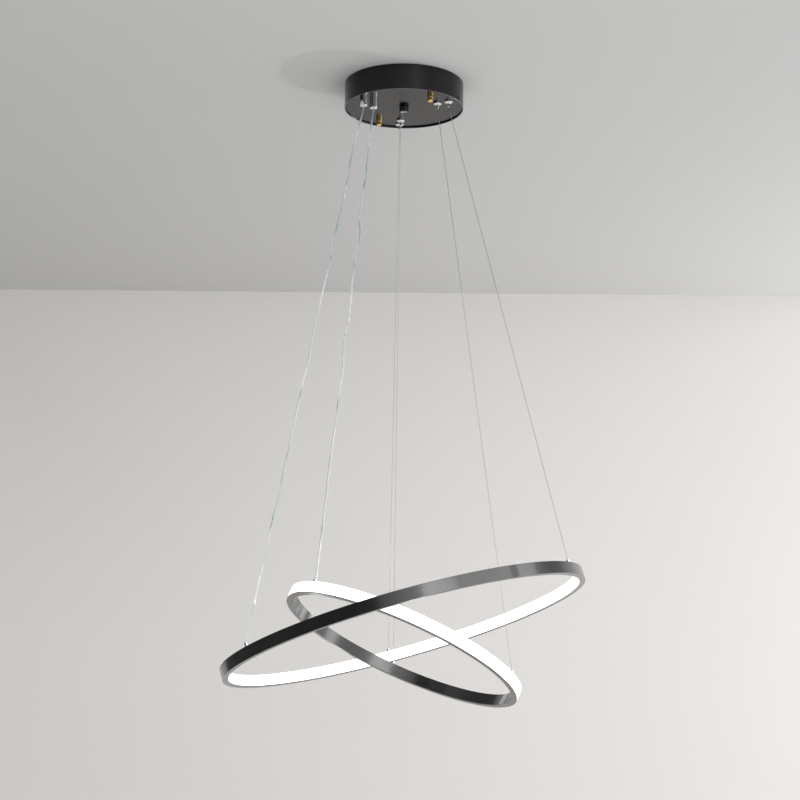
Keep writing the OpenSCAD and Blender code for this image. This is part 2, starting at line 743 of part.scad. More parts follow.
module sweep_out(r) {
    rotate_extrude($fn = 180) translate([r - ring_depth, 0]) children();
}

module channel_profile() {
    difference() {
        translate([0, -ring_h / 2]) square([ring_depth, ring_h]);
        translate([web_t, flange_t - ring_h / 2]) square([ring_depth, ring_h - 2 * flange_t]);
        translate([upper_depth, flange_t - ring_h / 2]) square([ring_depth, ring_h]);
    }
}

module diffuser_profile() {
    clip_z = ring_h / 2 - flange_t - fit - clip_t;
    low_z = flange_t + fit - ring_h / 2;
    translate([upper_depth + fit, low_z]) square([diffuser_t - fit, ring_h / 2 - low_z]);
    for (z = [clip_z, low_z]) translate([upper_depth - clip_len, z]) square([clip_len + 0.5, clip_t]);
}

// Cuts made in a channel: its seam, the joiner's screw holes and the fittings' holes
module channel_cuts(web_r, outward, fit_r, seam, turn) {
    rotate(seam) translate([web_r - ring_depth - cut, -seam_gap / 2, -ring_h])
        cube([2 * ring_depth + 2 * cut, seam_gap, 2 * ring_h]);
    joiner_screw_places(web_r, seam) {
        translate([0, 0, outward * (-web_t - cut)]) mirror([0, 0, outward > 0 ? 0 : 1])
            cylinder(h = web_t + 2 * cut, r = joiner_screw_r + hole_gap);
        mirror([0, 0, outward > 0 ? 0 : 1]) translate([0, 0, -countersink_h])
            cylinder(h = countersink_h + fit, r1 = joiner_screw_r + hole_gap,
                r2 = joiner_screw_head_r + hole_gap + fit);
    }
    for (a = [right_angle, far_angle])
        rotate(a + turn) translate([fit_r, 0, 0]) cylinder(h = ring_h, r = socket_shank_r + fit);
    rotate(cord_angle + turn) translate([fit_r, 0, 0]) cylinder(h = ring_h, r = cord_socket_shank_r + fit / 2);
}

// Screw axes at the web's outer face, local +Z away from the ring's middle
module joiner_screw_places(web_r, seam) {
    half = joiner_screw_spread / 2 / web_r * 180 / PI;
    for (s = [-1, 1])
        rotate(seam + s * half) translate([web_r, 0, 0]) rotate([0, 90, 0]) children();
}

module joiner_screw(outward) {
    mirror([0, 0, outward > 0 ? 0 : 1]) {
        translate([0, 0, -web_t - fit - joiner_t]) cylinder(h = web_t + joiner_t, r = joiner_screw_r);
        translate([0, 0, -countersink_h]) difference() {
            cylinder(h = countersink_h - fit, r1 = joiner_screw_r, r2 = joiner_screw_head_r);
            translate([0, 0, 0.3]) cylinder(h = cut, r = 0.9, $fn = 6);
        }
    }
}

module joiner_bar(low_r, web_r, seam) {
    span = joiner_span / web_r * 180 / PI;
    difference() {
        rotate(seam - span / 2) rotate_extrude(angle = span, $fn = 180)
            translate([low_r, -strip_h / 2]) square([joiner_t, strip_h]);
        joiner_screw_places(web_r, seam)
            cylinder(h = 2 * (web_t + fit + joiner_t + cut), r = joiner_screw_r + fit / 2, center = true);
    }
}

module strip_arc(low_r, seam, chip_side) {
    gap_angle = (joiner_span + 6) / low_r * 180 / PI;
    chips = floor(2 * PI * low_r * (1 - gap_angle / 360) / chip_pitch);
    rotate(seam + gap_angle / 2) rotate_extrude(angle = 360 - gap_angle, $fn = 180)
        translate([low_r, -strip_h / 2]) square([strip_t, strip_h]);
    for (k = [0:chips - 1])
        rotate(seam + gap_angle / 2 + (k + 0.5) * (360 - gap_angle) / chips)
            translate([chip_side > 0 ? low_r + strip_t - 0.1 : low_r + 0.1 - chip_size.x,
                -chip_size.y / 2, -chip_size.z / 2])
                cube(chip_size);
}

// The cord's last stretch: down through the socket and across to the strip
module pigtail(fit_r, strip_r) {
    low_z = ring_h / 2 - flange_t - pigtail_drop;
    translate([fit_r, 0, low_z]) cylinder(h = ring_h / 2 + cord_socket_h - low_z, r = cord_r - fit / 2);
    translate([min(fit_r, strip_r), 0, low_z]) rotate([0, 90, 0])
        cylinder(h = abs(fit_r - strip_r), r = 1.2);
    translate([fit_r, 0, low_z]) sphere(r = cord_r - fit / 2);
}

module wire_socket() {
    exit_r = wire_r / cos(ball_exit_angle);
    exit_h = socket_h - ball_h;
    difference() {
        union() {
            translate([0, 0, ring_h / 2]) cylinder(h = socket_h, r = socket_r);
            translate([0, 0, ring_h / 2 - flange_t - rivet_h])
                cylinder(h = flange_t + rivet_h + 0.5, r = socket_shank_r);
            translate([0, 0, ring_h / 2 - flange_t - rivet_h]) cylinder(h = rivet_h - fit / 2, r = rivet_r);
        }
        translate([0, 0, ring_h / 2 + ball_h]) {
            sphere(r = ball_r + run_fit);
            cylinder(h = exit_h + fit, r1 = exit_r, r2 = exit_r + (exit_h + fit) * tan(ball_exit_angle));
        }
    }
}

module cord_socket() {
    difference() {
        union() {
            translate([0, 0, ring_h / 2]) cylinder(h = cord_socket_h, r = socket_r);
            translate([0, 0, ring_h / 2 - flange_t]) cylinder(h = flange_t + 0.5, r = cord_socket_shank_r);
        }
        translate([0, 0, ring_h / 2 - flange_t - cut])
            cylinder(h = flange_t + cord_socket_h + 2 * cut, r = cord_r + fit / 2);
    }
}

module wire_sockets(fit_r, turn) {
    for (a = [right_angle, far_angle]) rotate(a + turn) translate([fit_r, 0, 0]) wire_socket();
}

// Large ring

module large_channel() {
    color([0.16, 0.16, 0.17]) place_large() difference() {
        sweep_in(large_r) channel_profile();
        channel_cuts(large_r, 1, large_fit_r, large_seam_angle, large_turn);
    }
}

module large_diffuser() {
    color([1, 1, 0.98]) place_large() sweep_in(large_r) diffuser_profile();
}

module large_led_strip() {
    strip_r = large_r - web_t - fit - strip_t;
    color([0.95, 0.93, 0.8]) place_large() {
        strip_arc(strip_r, large_seam_angle, -1);
        rotate(cord_angle + large_turn) pigtail(large_fit_r, strip_r + strip_t / 2);
    }
}

module large_joiner() {
    color([0.75, 0.75, 0.77]) place_large()
        joiner_bar(large_r - web_t - fit - joiner_t, large_r, large_seam_angle);
}

module large_joiner_screws() {
    color([0.5, 0.5, 0.52]) place_large() joiner_screw_places(large_r, large_seam_angle) joiner_screw(1);
}

module large_wire_sockets() {
    color([0.85, 0.85, 0.87]) place_large() wire_sockets(large_fit_r, large_turn);
}

module large_cord_socket() {
    color([0.85, 0.85, 0.87]) place_large()
        rotate(cord_angle + large_turn) translate([large_fit_r, 0, 0]) cord_socket();
}

// Small ring

module small_channel() {
    color([0.16, 0.16, 0.17]) place_small() difference() {
        sweep_out(small_r) channel_profile();
        channel_cuts(small_r - ring_depth, -1, small_fit_r, small_seam_angle, small_turn);
    }
}

module small_diffuser() {
    color([1, 1, 0.98]) place_small() sweep_out(small_r) diffuser_profile();
}

module small_led_strip() {
    strip_r = small_r - ring_depth + web_t + fit;
    color([0.95, 0.93, 0.8]) place_small() {
        strip_arc(strip_r, small_seam_angle, 1);
        rotate(cord_angle + small_turn) pigtail(small_fit_r, strip_r + strip_t / 2);
    }
}

module small_joiner() {
    color([0.75, 0.75, 0.77]) place_small()
        joiner_bar(small_r - ring_depth + web_t + fit, small_r - ring_depth, small_seam_angle);
}

module small_joiner_screws() {
    color([0.5, 0.5, 0.52]) place_small()
        joiner_screw_places(small_r - ring_depth, small_seam_angle) joiner_screw(-1);
}

module small_wire_sockets() {
    color([0.85, 0.85, 0.87]) place_small() wire_sockets(small_fit_r, small_turn);
}

module small_cord_socket() {
    color([0.85, 0.85, 0.87]) place_small()
        rotate(cord_angle + small_turn) translate([small_fit_r, 0, 0]) cord_socket();
}

canopy_wall();
canopy_plate();
side_screws();
ceiling_bracket();
bracket_studs();
stud_lock_nuts();
thumb_nuts();
centre_nipple();
centre_nut();
centre_lock_nut();
driver_tray();
led_driver();
driver_screws();
terminal_block();
mains_lead();
gland_barrels();
gland_caps();
gland_bushes();
gland_lock_nuts();
gland_grub_screws();
large_inner_lead();
small_inner_lead();
gripper_flanges();
gripper_barrels();
gripper_lock_nuts();
gripper_springs();
large_right_plunger();
large_right_cage();
large_far_plunger();
large_far_cage();
small_right_plunger();
small_right_cage();
small_far_plunger();
small_far_cage();
large_right_wire();
large_far_wire();
small_right_wire();
small_far_wire();
large_power_cord();
small_power_cord();
large_cord_tail();
small_cord_tail();
large_wire_balls();
small_wire_balls();
large_channel();
large_diffuser();
large_led_strip();
large_joiner();
large_joiner_screws();
large_wire_sockets();
large_cord_socket();
small_channel();
small_diffuser();
small_led_strip();
small_joiner();
small_joiner_screws();
small_wire_sockets();
small_cord_socket();
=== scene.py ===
import json
from math import atan2, cos, hypot, pi, radians, sin

import bmesh
import bpy
from bpy.props import FloatProperty, FloatVectorProperty, PointerProperty
from bpy.types import Operator, Panel, PropertyGroup
from mathutils import Matrix, Vector

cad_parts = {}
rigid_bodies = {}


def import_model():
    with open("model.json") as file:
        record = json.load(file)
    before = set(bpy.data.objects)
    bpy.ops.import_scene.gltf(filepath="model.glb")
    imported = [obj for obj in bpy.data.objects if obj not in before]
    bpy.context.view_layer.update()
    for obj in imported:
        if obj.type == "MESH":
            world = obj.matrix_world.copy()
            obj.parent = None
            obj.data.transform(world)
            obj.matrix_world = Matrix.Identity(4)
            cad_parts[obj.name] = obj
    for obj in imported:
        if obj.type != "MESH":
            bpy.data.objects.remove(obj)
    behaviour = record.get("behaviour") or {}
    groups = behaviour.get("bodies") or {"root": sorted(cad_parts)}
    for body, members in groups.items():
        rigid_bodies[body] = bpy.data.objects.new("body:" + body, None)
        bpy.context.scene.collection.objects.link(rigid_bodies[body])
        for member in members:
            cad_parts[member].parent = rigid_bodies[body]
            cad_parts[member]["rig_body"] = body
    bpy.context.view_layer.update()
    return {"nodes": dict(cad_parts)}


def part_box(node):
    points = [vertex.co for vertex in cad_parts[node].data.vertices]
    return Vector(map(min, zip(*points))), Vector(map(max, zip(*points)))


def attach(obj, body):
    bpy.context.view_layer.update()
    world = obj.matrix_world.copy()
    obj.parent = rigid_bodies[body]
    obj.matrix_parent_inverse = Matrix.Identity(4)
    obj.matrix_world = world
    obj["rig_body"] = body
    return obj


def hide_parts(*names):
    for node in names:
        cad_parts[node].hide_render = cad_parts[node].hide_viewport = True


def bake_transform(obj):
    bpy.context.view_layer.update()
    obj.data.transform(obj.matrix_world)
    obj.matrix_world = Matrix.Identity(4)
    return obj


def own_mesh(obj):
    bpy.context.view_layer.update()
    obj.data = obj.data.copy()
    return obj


bl_info = {
    "name": "Ring chandelier",
    "version": (1, 0, 0),
    "blender": (4, 5, 0),
    "location": "3D View > Sidebar > Chandelier",
    "description": "Dresses a pendant light of two tilted light rings",
    "category": "Object",
}

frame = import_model()
NODES = frame["nodes"]

# Millimetres in metres
MM = 0.001
WALL_LOW, WALL_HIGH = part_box("canopy_wall")
CANOPY_RADIUS = WALL_HIGH.x
FACE_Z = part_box("canopy_plate")[0].z

# The two rings, and the directions on them, in degrees, of their wires and of their cord
RINGS = ("large", "small")
WIRE_SIDES = {"right": -30, "far": 90}
CORD_SIDE = 210.5
# Edges that bend more are sharp, and faces that bend less are one face
SHARP_ANGLE, FLAT_ANGLE = radians(40), radians(1)
# Vertices closer than this are one
MERGE_DISTANCE = 0.002 * MM
# UV units for each metre along a tube or across a profile
UV_PER_METRE = 10


# Sizes and colours

def size(name, description, millimetres):
    return FloatProperty(name=name, description=description, default=millimetres * MM, min=0,
                         subtype="DISTANCE", unit="LENGTH")


def angle(name, description, degrees):
    return FloatProperty(name=name, description=description, default=radians(degrees),
                         subtype="ANGLE", unit="ROTATION")


def triple(name, description, subtype, values, **limits):
    return FloatVectorProperty(name=name, description=description, size=3, subtype=subtype,
                               default=values, **limits)


def place(name, description, millimetres):
    return triple(name, description, "TRANSLATION", [c * MM for c in millimetres])


def tilt(name, description, degrees):
    return triple(name, description, "EULER", [radians(d) for d in degrees])


def colour(name, description, rgb):
    return triple(name, description, "COLOR", rgb, min=0, max=1)


class CanopySizes(PropertyGroup):
    """Sizes of the ceiling canopy and of what it carries"""
    wall: size("Wall", "Sheet thickness of the canopy's wall", 1.2)
    edge: size("Edge", "Rounding of the wall's lower edge", 0.5)
    large_inset: size("Large inset", "Large ring's fittings, from the canopy's rim", 18)
    small_inset: size("Small inset", "Small ring's fittings, from the canopy's rim", 38)
    right_grip: angle("Right grippers", "Direction of the right-hand grippers", -25)
    far_grip: angle("Far grippers", "Direction of the far grippers", 95)
    gland: angle("Glands", "Direction of both cord glands", 215)
    gland_length: size("Gland", "How far a gland reaches below the face plate", 14.4)
    pin_length: size("Pin", "How far a release pin reaches below the face plate", 10.5)


class RingSizes(PropertyGroup):
    """Sizes and places of the two light rings"""
    large_diameter: size("Large ring", "Outer diameter of the large ring", 600)
    small_diameter: size("Small ring", "Outer diameter of the small ring", 400)
    height: size("Height", "Height of the profile", 19)
    depth: size("Depth", "Radial depth of the profile with its diffuser", 10)
    diffuser: size("Diffuser", "Thickness of the lit face", 2)
    web: size("Web", "Thickness of the aluminium web", 1.4)
    flange: size("Flange", "Thickness of the aluminium flanges", 1.3)
    edge: size("Edge", "Rounding of the profile's edges", 0.35)
    seam: size("Seam", "Width of the seam in the aluminium", 0.3)
    fitting: size("Fitting", "Place of the fittings, from the web's face", 4.2)
    ball_height: size("Ball", "Height of the wire ball's middle over the ring", 3.2)
    ball: size("Ball radius", "Radius of the wire's ball end", 1.5)
    cord_socket: size("Cord socket", "Height of the cord's socket over the ring", 6)
    large_place: place("Large place", "Middle of the large ring", (6, 2, -911))
    large_tilt: tilt("Large tilt", "Tilt of the large ring", (-5.5, -16, 0))
    large_turn: angle("Large turn", "Turn of the large ring's suspension points", 6)
    large_seam: angle("Large seam", "Direction of the large ring's seam", -56)
    small_place: place("Small place", "Middle of the small ring", (5, 0, -941))
    small_tilt: tilt("Small tilt", "Tilt of the small ring", (-10.5, 23.5, 0))
    small_turn: angle("Small turn", "Turn of the small ring's suspension points", 2)
    small_seam: angle("Small seam", "Direction of the small ring's seam", 12)


class LineSizes(PropertyGroup):
    """Sizes of the steel wires and of the clear power cords"""
    wire: size("Wire", "Diameter of the steel wires", 1)
    cord: size("Cord", "Diameter of the clear sheath", 3)
    core: size("Core", "Diameter of each core in the sheath", 1.1)
    core_spread: size("Core spread", "Distance of each core from the cord's middle", 0.62)
    core_twist: size("Core twist", "Length in which the cores turn once", 34)
    straight: size("Straight", "Straight length of a cord below its gland", 6)
    end_straight: size("End", "Straight length of a cord above its socket", 3)


class FinishColours(PropertyGroup):
    """Colours of the finishes"""
    black_nickel: colour("Black nickel", "Brushed aluminium of the rings", (0.13, 0.129, 0.129))
    canopy: colour("Canopy", "Brushed lacquer of the canopy's wall", (0.038, 0.0375, 0.037))
    # The edge colour is much lighter than the wall's: a painted glint along the polished lower edge
    canopy_edge: colour("Canopy edge", "Polished lower edge of the wall", (0.2, 0.212, 0.225))
    canopy_lining: colour("Canopy lining", "Inside of the wall", (0.0988, 0.0975, 0.0962))
    plate: colour("Face plate", "Half-gloss lacquer of the face plate", (0.02, 0.0185, 0.017))
    nickel: colour("Nickel", "Plated grippers, glands and sockets", (0.78, 0.78, 0.79))
    brass: colour("Brass", "Ridged thumb nuts", (0.83, 0.56, 0.2))
    zinc: colour("Zinc", "Plated bracket, tray and nuts", (0.62, 0.63, 0.64))
    blackened: colour("Blackened steel", "Hexagon nut and small screws", (0.035, 0.033, 0.03))
    steel: colour("Steel", "Wires, balls and springs", (0.72, 0.72, 0.72))
    sheath: colour("Sheath", "Clear sheath of the cords", (0.965, 0.98, 1.0))
    core: colour("Core", "Tinned cores of the cords", (0.95, 0.97, 1.0))
    core_cast: colour("Core cast", "Cast that comes and goes on the cores", (0.3, 0.4, 0.44))
    white_plastic: colour("White plastic", "Driver case and lead", (0.86, 0.86, 0.84))
    natural_plastic: colour("Natural plastic", "Terminal block", (0.8, 0.79, 0.74))
    rubber: colour("Rubber", "Bushes in the glands", (0.03, 0.03, 0.03))
    opal: colour("Opal", "Lit diffusers", (1.0, 1.0, 1.0))
    board: colour("Board", "Light strips behind the diffusers", (0.85, 0.84, 0.8))
    phosphor: colour("Phosphor", "Grain of the light strips", (0.85, 0.72, 0.25))
    ceiling: colour("Ceiling", "Paint of the ceiling", (0.57, 0.57, 0.566))
    wall: colour("Wall", "Paint of the back wall", (0.78, 0.763, 0.748))
    floor: colour("Floor", "Paint of the floor", (0.7, 0.69, 0.68))
    cloth: colour("Cloth", "Dark cloth that the black metal mirrors", (0.12, 0.12, 0.12))


class ChandelierSettings(PropertyGroup):
    """Everything that a user would change on the chandelier"""
    canopy: PointerProperty(type=CanopySizes)
    rings: PointerProperty(type=RingSizes)
    lines: PointerProperty(type=LineSizes)
    finishes: PointerProperty(type=FinishColours)


def settings():
    return bpy.context.scene.chandelier


# Places on the object

def around(radius, direction, z=0.0):
    return Vector((radius * cos(direction), radius * sin(direction), z))


def canopy_place(ring, fitting):
    """Where one of a ring's grippers or its gland comes out of the face plate."""
    canopy = settings().canopy
    radius = CANOPY_RADIUS - getattr(canopy, ring + "_inset")
    return around(radius, getattr(canopy, fitting), FACE_Z)


def ring_matrix(ring):
    rings = settings().rings
    turn = getattr(rings, ring + "_tilt").to_matrix().to_4x4()
    return Matrix.Translation(Vector(getattr(rings, ring + "_place"))) @ turn


def outer_radius(ring):
    return getattr(settings().rings, ring + "_diameter") / 2


def profile_radius(ring, depth):
    """Radius of a point of the profile, from its depth behind the web's face.
    The large ring is lit inside and the small ring outside."""
    if ring == "large":
        return outer_radius(ring) - depth
    return outer_radius(ring) - settings().rings.depth + depth


def on_ring(ring, side, height):
    """A suspension point of a ring, at a height over its top face."""
    rings = settings().rings
    direction = radians(side) + getattr(rings, ring + "_turn")
    local = around(profile_radius(ring, rings.fitting), direction, rings.height / 2 + height)
    return ring_matrix(ring) @ local


def ball_place(ring, side):
    return on_ring(ring, WIRE_SIDES[side], settings().rings.ball_height)


# Modelling

def spun(outline, steps, edge=0.0, segments=3, start=0.0, sweep=2 * pi):
    """A turned solid: a closed outline of radii and heights, its corners rounded, spun about Z."""
    bm = bmesh.new()
    corners = [bm.verts.new((radius * cos(start), radius * sin(start), z)) for radius, z in outline]
    for a, b in zip(corners, corners[1:] + corners[:1]):
        bm.edges.new((a, b))
    if edge:
        bmesh.ops.bevel(bm, geom=corners, offset=edge, offset_type="OFFSET", segments=segments,
                        profile=0.5, affect="VERTICES", material=-1)
    full = sweep > 2 * pi - 1e-6
    bmesh.ops.spin(bm, geom=bm.verts[:] + bm.edges[:], cent=(0, 0, 0), axis=(0, 0, 1),
                   angle=sweep, steps=steps, use_merge=full)
    if not full:
        open_edges = [e for e in bm.edges if len(e.link_faces) == 1]
        bmesh.ops.holes_fill(bm, edges=open_edges, sides=0)
    bmesh.ops.recalc_face_normals(bm, faces=bm.faces)
    return bm


def lay_profile_uv(bm):
    """Lays the UV map's U across a turned profile and V round it, before the piece is tilted."""
    layer = bm.loops.layers.uv.new("profile")
    for face in bm.faces:
        for loop in face.loops:
            x, y, z = loop.vert.co
            loop[layer].uv = ((z + hypot(x, y)) * UV_PER_METRE, atan2(y, x) / (2 * pi))


def add_object(name, data):
    made = bpy.data.objects.new(name, data)
    bpy.context.scene.collection.objects.link(made)
    return made


def object_from(bm, name, finish_name):
    """Makes the finished object of a mesh whose place is already in its vertices."""
    for edge in bm.edges:
        edge.smooth = len(edge.link_faces) == 2 and edge.calc_face_angle(0) < SHARP_ANGLE
    for face in bm.faces:
        face.smooth = True
    mesh = bpy.data.meshes.new(name)
    bm.to_mesh(mesh)
    bm.free()
    mesh.materials.append(finish(finish_name))
    return add_object(name, mesh)


def even_normals(piece):
    modifier = piece.modifiers.new("Even normals", "WEIGHTED_NORMAL")
    modifier.keep_sharp = True


def settle(piece, body, nodes=()):
    """Puts a piece on its body and hides the solids that it stands for.
    A piece that spans two bodies is given no body here."""
    if body:
        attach(piece, body)
    if nodes:
        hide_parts(*nodes)


def dressed(node, finish_name, edge, segments=2):
    """A copy of a solid with its loose triangles merged and its edges softened, by a rounding
    in millimetres."""
    source = NODES[node]
    bm = bmesh.new()
    bm.from_mesh(source.data)
    bmesh.ops.remove_doubles(bm, verts=bm.verts, dist=MERGE_DISTANCE)
    bmesh.ops.dissolve_limit(bm, angle_limit=FLAT_ANGLE, verts=bm.verts, edges=bm.edges)
    piece = object_from(bm, node + "_finished", finish_name)
    if edge:
        bevel = piece.modifiers.new("Soft edges", "BEVEL")
        bevel.width = edge * MM
        bevel.segments = segments
        bevel.limit_method = "ANGLE"
        bevel.angle_limit = SHARP_ANGLE
        bevel.use_clamp_overlap = True
    even_normals(piece)
    settle(piece, source["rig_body"], [node])


def dress_alike(finish_name, slot, **roundings):
    """Dresses solids in the same finish, each with its own rounding."""
    for node, edge in roundings.items():
        dressed(node, finish_name, edge)


def coated(node, finish_name):
    """Gives a solid that stays as it is a finish of its own."""
    mesh = NODES[node].data
    mesh.materials.clear()
    mesh.materials.append(finish(finish_name))


# Routes

def smooth_route(points, steps):
    """One smooth curve through the route's points, with a few places on each span."""
    ends = [points[0] * 2 - points[1], *points, points[-1] * 2 - points[-2]]
    path = [points[0].copy()]
    for a, b, c, d in zip(ends, ends[1:], ends[2:], ends[3:]):
        for k in range(1, steps + 1):
            t = k / steps
            path.append(0.5 * (2 * b + (c - a) * t + (2 * a - 5 * b + 4 * c - d) * t * t
                               + (3 * b - a - 3 * c + d) * t ** 3))
    return path


def frames_along(path):
    """For each place on the path: the place, two directions square to it, and its distance
    along it. The first direction starts as one that no line here runs in."""
    side = Vector((0.8, 0.6, 0))
    frames, travelled = [], 0.0
    for i, here in enumerate(path):
        ahead = (path[min(i + 1, len(path) - 1)] - path[max(i - 1, 0)]).normalized()
        side = (side - ahead * side.dot(ahead)).normalized()
        if i:
            travelled += (here - path[i - 1]).length
        frames.append((here, side, ahead.cross(side), travelled))
    return frames


def add_tube(bm, frames, radius, sides, spread=0.0, twist=0.0, phase=0.0):
    """Adds a tube along the frames, or a strand of it that winds round them at a spread."""
    layer = bm.loops.layers.uv.get("along") or bm.loops.layers.uv.new("along")
    rings = []
    for here, side, across, travelled in frames:
        turn = phase + (2 * pi * travelled / twist if twist else 0)
        middle = here + spread * (cos(turn) * side + sin(turn) * across)
        rings.append([bm.verts.new(middle + radius * (cos(2 * pi * k / sides) * side
                                                      + sin(2 * pi * k / sides) * across))
                      for k in range(sides)])
    for i, (low, high) in enumerate(zip(rings, rings[1:])):
        for k in range(sides):
            face = bm.faces.new((low[k], high[k], high[(k + 1) % sides], low[(k + 1) % sides]))
            corners = ((k, i), (k, i + 1), (k + 1, i + 1), (k + 1, i))
            for loop, (u, row) in zip(face.loops, corners):
                loop[layer].uv = (u / sides, frames[row][3] * UV_PER_METRE)
    bm.faces.new(rings[0])
    bm.faces.new(reversed(rings[-1]))


def tube_object(name, frames, radius, sides, finish_name):
    bm = bmesh.new()
    add_tube(bm, frames, radius, sides)
    bmesh.ops.recalc_face_normals(bm, faces=bm.faces)
    return object_from(bm, name, finish_name)


# Shader nodes

def add_node(tree, kind, inputs=(), **options):
    """Adds a shader node, sets its options, and feeds its inputs with sockets or plain values.
    The inputs come in the node's own order, or in a dictionary by their names."""
    node = tree.nodes.new("ShaderNode" + kind)
    for option, value in options.items():
        setattr(node, option, value)
    for socket, value in inputs.items() if isinstance(inputs, dict) else enumerate(inputs):
        if isinstance(value, bpy.types.NodeSocket):
            tree.links.new(value, node.inputs[socket])
        else:
            node.inputs[socket].default_value = value
    return node


def maths(tree, operation, *values, clamp=False):
    return add_node(tree, "Math", values, operation=operation, use_clamp=clamp).outputs[0]


def vector_maths(tree, operation, *values):
    return add_node(tree, "VectorMath", values, operation=operation).outputs


def scaled(tree, vector, factor):
    inputs = {0: vector, "Scale": factor}
    return add_node(tree, "VectorMath", inputs, operation="SCALE").outputs[0]


def split_xyz(tree, vector):
    return add_node(tree, "SeparateXYZ", [vector]).outputs


def joined_xyz(tree, *values):
    return add_node(tree, "CombineXYZ", values).outputs[0]


def noise(tree, vector, scale, detail=3.0, roughness=0.5):
    inputs = {"Vector": vector, "Scale": scale, "Detail": detail, "Roughness": roughness}
    return add_node(tree, "TexNoise", inputs).outputs["Fac"]


def above(tree, value, level, contrast):
    """How far a value lies over a level, from 0 to 1."""
    over = maths(tree, "SUBTRACT", value, level)
    return maths(tree, "MULTIPLY", over, contrast, clamp=True)


# Shader node groups: each maker returns what its group puts out

def fine_grain(group, vector):
    """The even noise of brushing and grain, on a vector that is already scaled."""
    return noise(group, vector, 1.0, roughness=0.6)


def turned_brushing(group, vector, fineness):
    """Fine lines that run round the Z axis, each fading in and out along its way."""
    drift_scale, fading = 14.0, 6.0
    height = split_xyz(group, vector)["Z"]
    flat = vector_maths(group, "MULTIPLY", vector, (1, 1, 0))[0]
    radius = vector_maths(group, "LENGTH", flat)["Value"]
    drift = noise(group, vector, drift_scale)
    fine = scaled(group, joined_xyz(group, radius, height), fineness)
    moved = joined_xyz(group, 0, 0, maths(group, "MULTIPLY", drift, fading))
    lines = vector_maths(group, "ADD", fine, moved)[0]
    return {"Streak": fine_grain(group, lines), "Drift": drift}


def straight_brushing(group, vector, fineness):
    """Fine straight lines along Y."""
    drift_scale, stretch = 20.0, (1, 0.012, 1)
    stretched = vector_maths(group, "MULTIPLY", vector, stretch)[0]
    streak = fine_grain(group, scaled(group, stretched, fineness))
    return {"Streak": streak, "Drift": noise(group, vector, drift_scale)}


def handling(group, vector, scale):
    """Soft smudges left by hands and a scatter of dust."""
    vector = scaled(group, vector, scale)
    return {"Smudge": above(group, noise(group, vector, 1.0, 4.0, 0.6), 0.45, 4.0),
            "Dust": above(group, noise(group, vector, 30.0, 2.0), 0.66, 12.0)}


def grain(group, vector, scale):
    """The fine, even grain of moulded or plated surfaces."""
    return {"Grain": fine_grain(group, scaled(group, vector, scale))}


def strands(group, vector, count, turns):
    """The lay of twisted strands, on a tube's own UV map."""
    split = split_xyz(group, vector)
    across = maths(group, "MULTIPLY", split["X"], count)
    along = maths(group, "MULTIPLY", split["Y"], turns)
    phase = maths(group, "MULTIPLY", maths(group, "ADD", across, along), 2 * pi)
    wave = maths(group, "SINE", phase)
    return {"Lay": maths(group, "MULTIPLY_ADD", wave, 0.5, 0.5)}


# Each group's maker, and its inputs beside the Vector
GROUPS = {
    "Turned brushing": (turned_brushing, ["Fineness"]),
    "Straight brushing": (straight_brushing, ["Fineness"]),
    "Handling": (handling, ["Scale"]),
    "Grain": (grain, ["Scale"]),
    "Strands": (strands, ["Count", "Turns"]),
}


def new_group(name):
    """Builds a group with named inputs and outputs."""
    maker, values = GROUPS[name]
    group = bpy.data.node_groups.new(name, "ShaderNodeTree")
    sockets = group.interface
    sockets.new_socket(name="Vector", in_out="INPUT", socket_type="NodeSocketVector")
    for socket in values:
        sockets.new_socket(name=socket, in_out="INPUT", socket_type="NodeSocketFloat")
    start = group.nodes.new("NodeGroupInput")
    made = maker(group, *(start.outputs[socket] for socket in ("Vector", *values)))
    for socket in made:
        sockets.new_socket(name=socket, in_out="OUTPUT", socket_type="NodeSocketFloat")
    end = group.nodes.new("NodeGroupOutput")
    for socket, source in made.items():
        group.links.new(source, end.inputs[socket])
    return group


def placed_group(shader, name, vector, **values):
    """Places a shared group in a shader's material, with its own values. Returns its outputs."""
    group = bpy.data.node_groups.get(name) or new_group(name)
    inputs = {"Vector": vector, **values}
    return add_node(shader.id_data, "Group", inputs, node_tree=group).outputs


# Parts of materials

def set_shader(shader, rgb, metallic, roughness, **sockets):
    """Sets the shader's own sockets. A space in a socket's name is written as an underscore."""
    sockets |= {"Base_Color": (*rgb, 1), "Metallic": metallic, "Roughness": roughness}
    for socket, value in sockets.items():
        shader.inputs[socket.replace("_", " ")].default_value = value


def object_vector(shader, ring=None):
    """The Object coordinates, centred and turned to a tilted ring where one is given."""
    tree = shader.id_data
    vector = add_node(tree, "TexCoord").outputs["Object"]
    if not ring:
        return vector
    rings = settings().rings
    inputs = {"Vector": vector, "Location": getattr(rings, ring + "_place"),
              "Rotation": getattr(rings, ring + "_tilt")}
    return add_node(tree, "Mapping", inputs, vector_type="TEXTURE").outputs["Vector"]


def uv_vector(shader, name):
    return add_node(shader.id_data, "UVMap", uv_map=name).outputs["UV"]


def drive(shader, socket, source):
    shader.id_data.links.new(source, shader.inputs[socket])


def colour_source(shader):
    """What feeds the shader's Base Color so far."""
    return shader.inputs["Base Color"].links[0].from_socket


def vary_roughness(shader, mask, low, high):
    inputs = {"Value": mask, "To Min": low, "To Max": high}
    drive(shader, "Roughness", add_node(shader.id_data, "MapRange", inputs).outputs["Result"])


def vary_colour(shader, mask, first, second, socket="Base Color"):
    """Goes from one colour to another by a mask. Each is a colour's values or a socket."""
    first, second = (end if isinstance(end, bpy.types.NodeSocket) else (*end, 1)
                     for end in (first, second))
    inputs = {"Factor": mask, "A": first, "B": second}
    mix = add_node(shader.id_data, "Mix", inputs, data_type="RGBA")
    drive(shader, socket, mix.outputs["Result"])


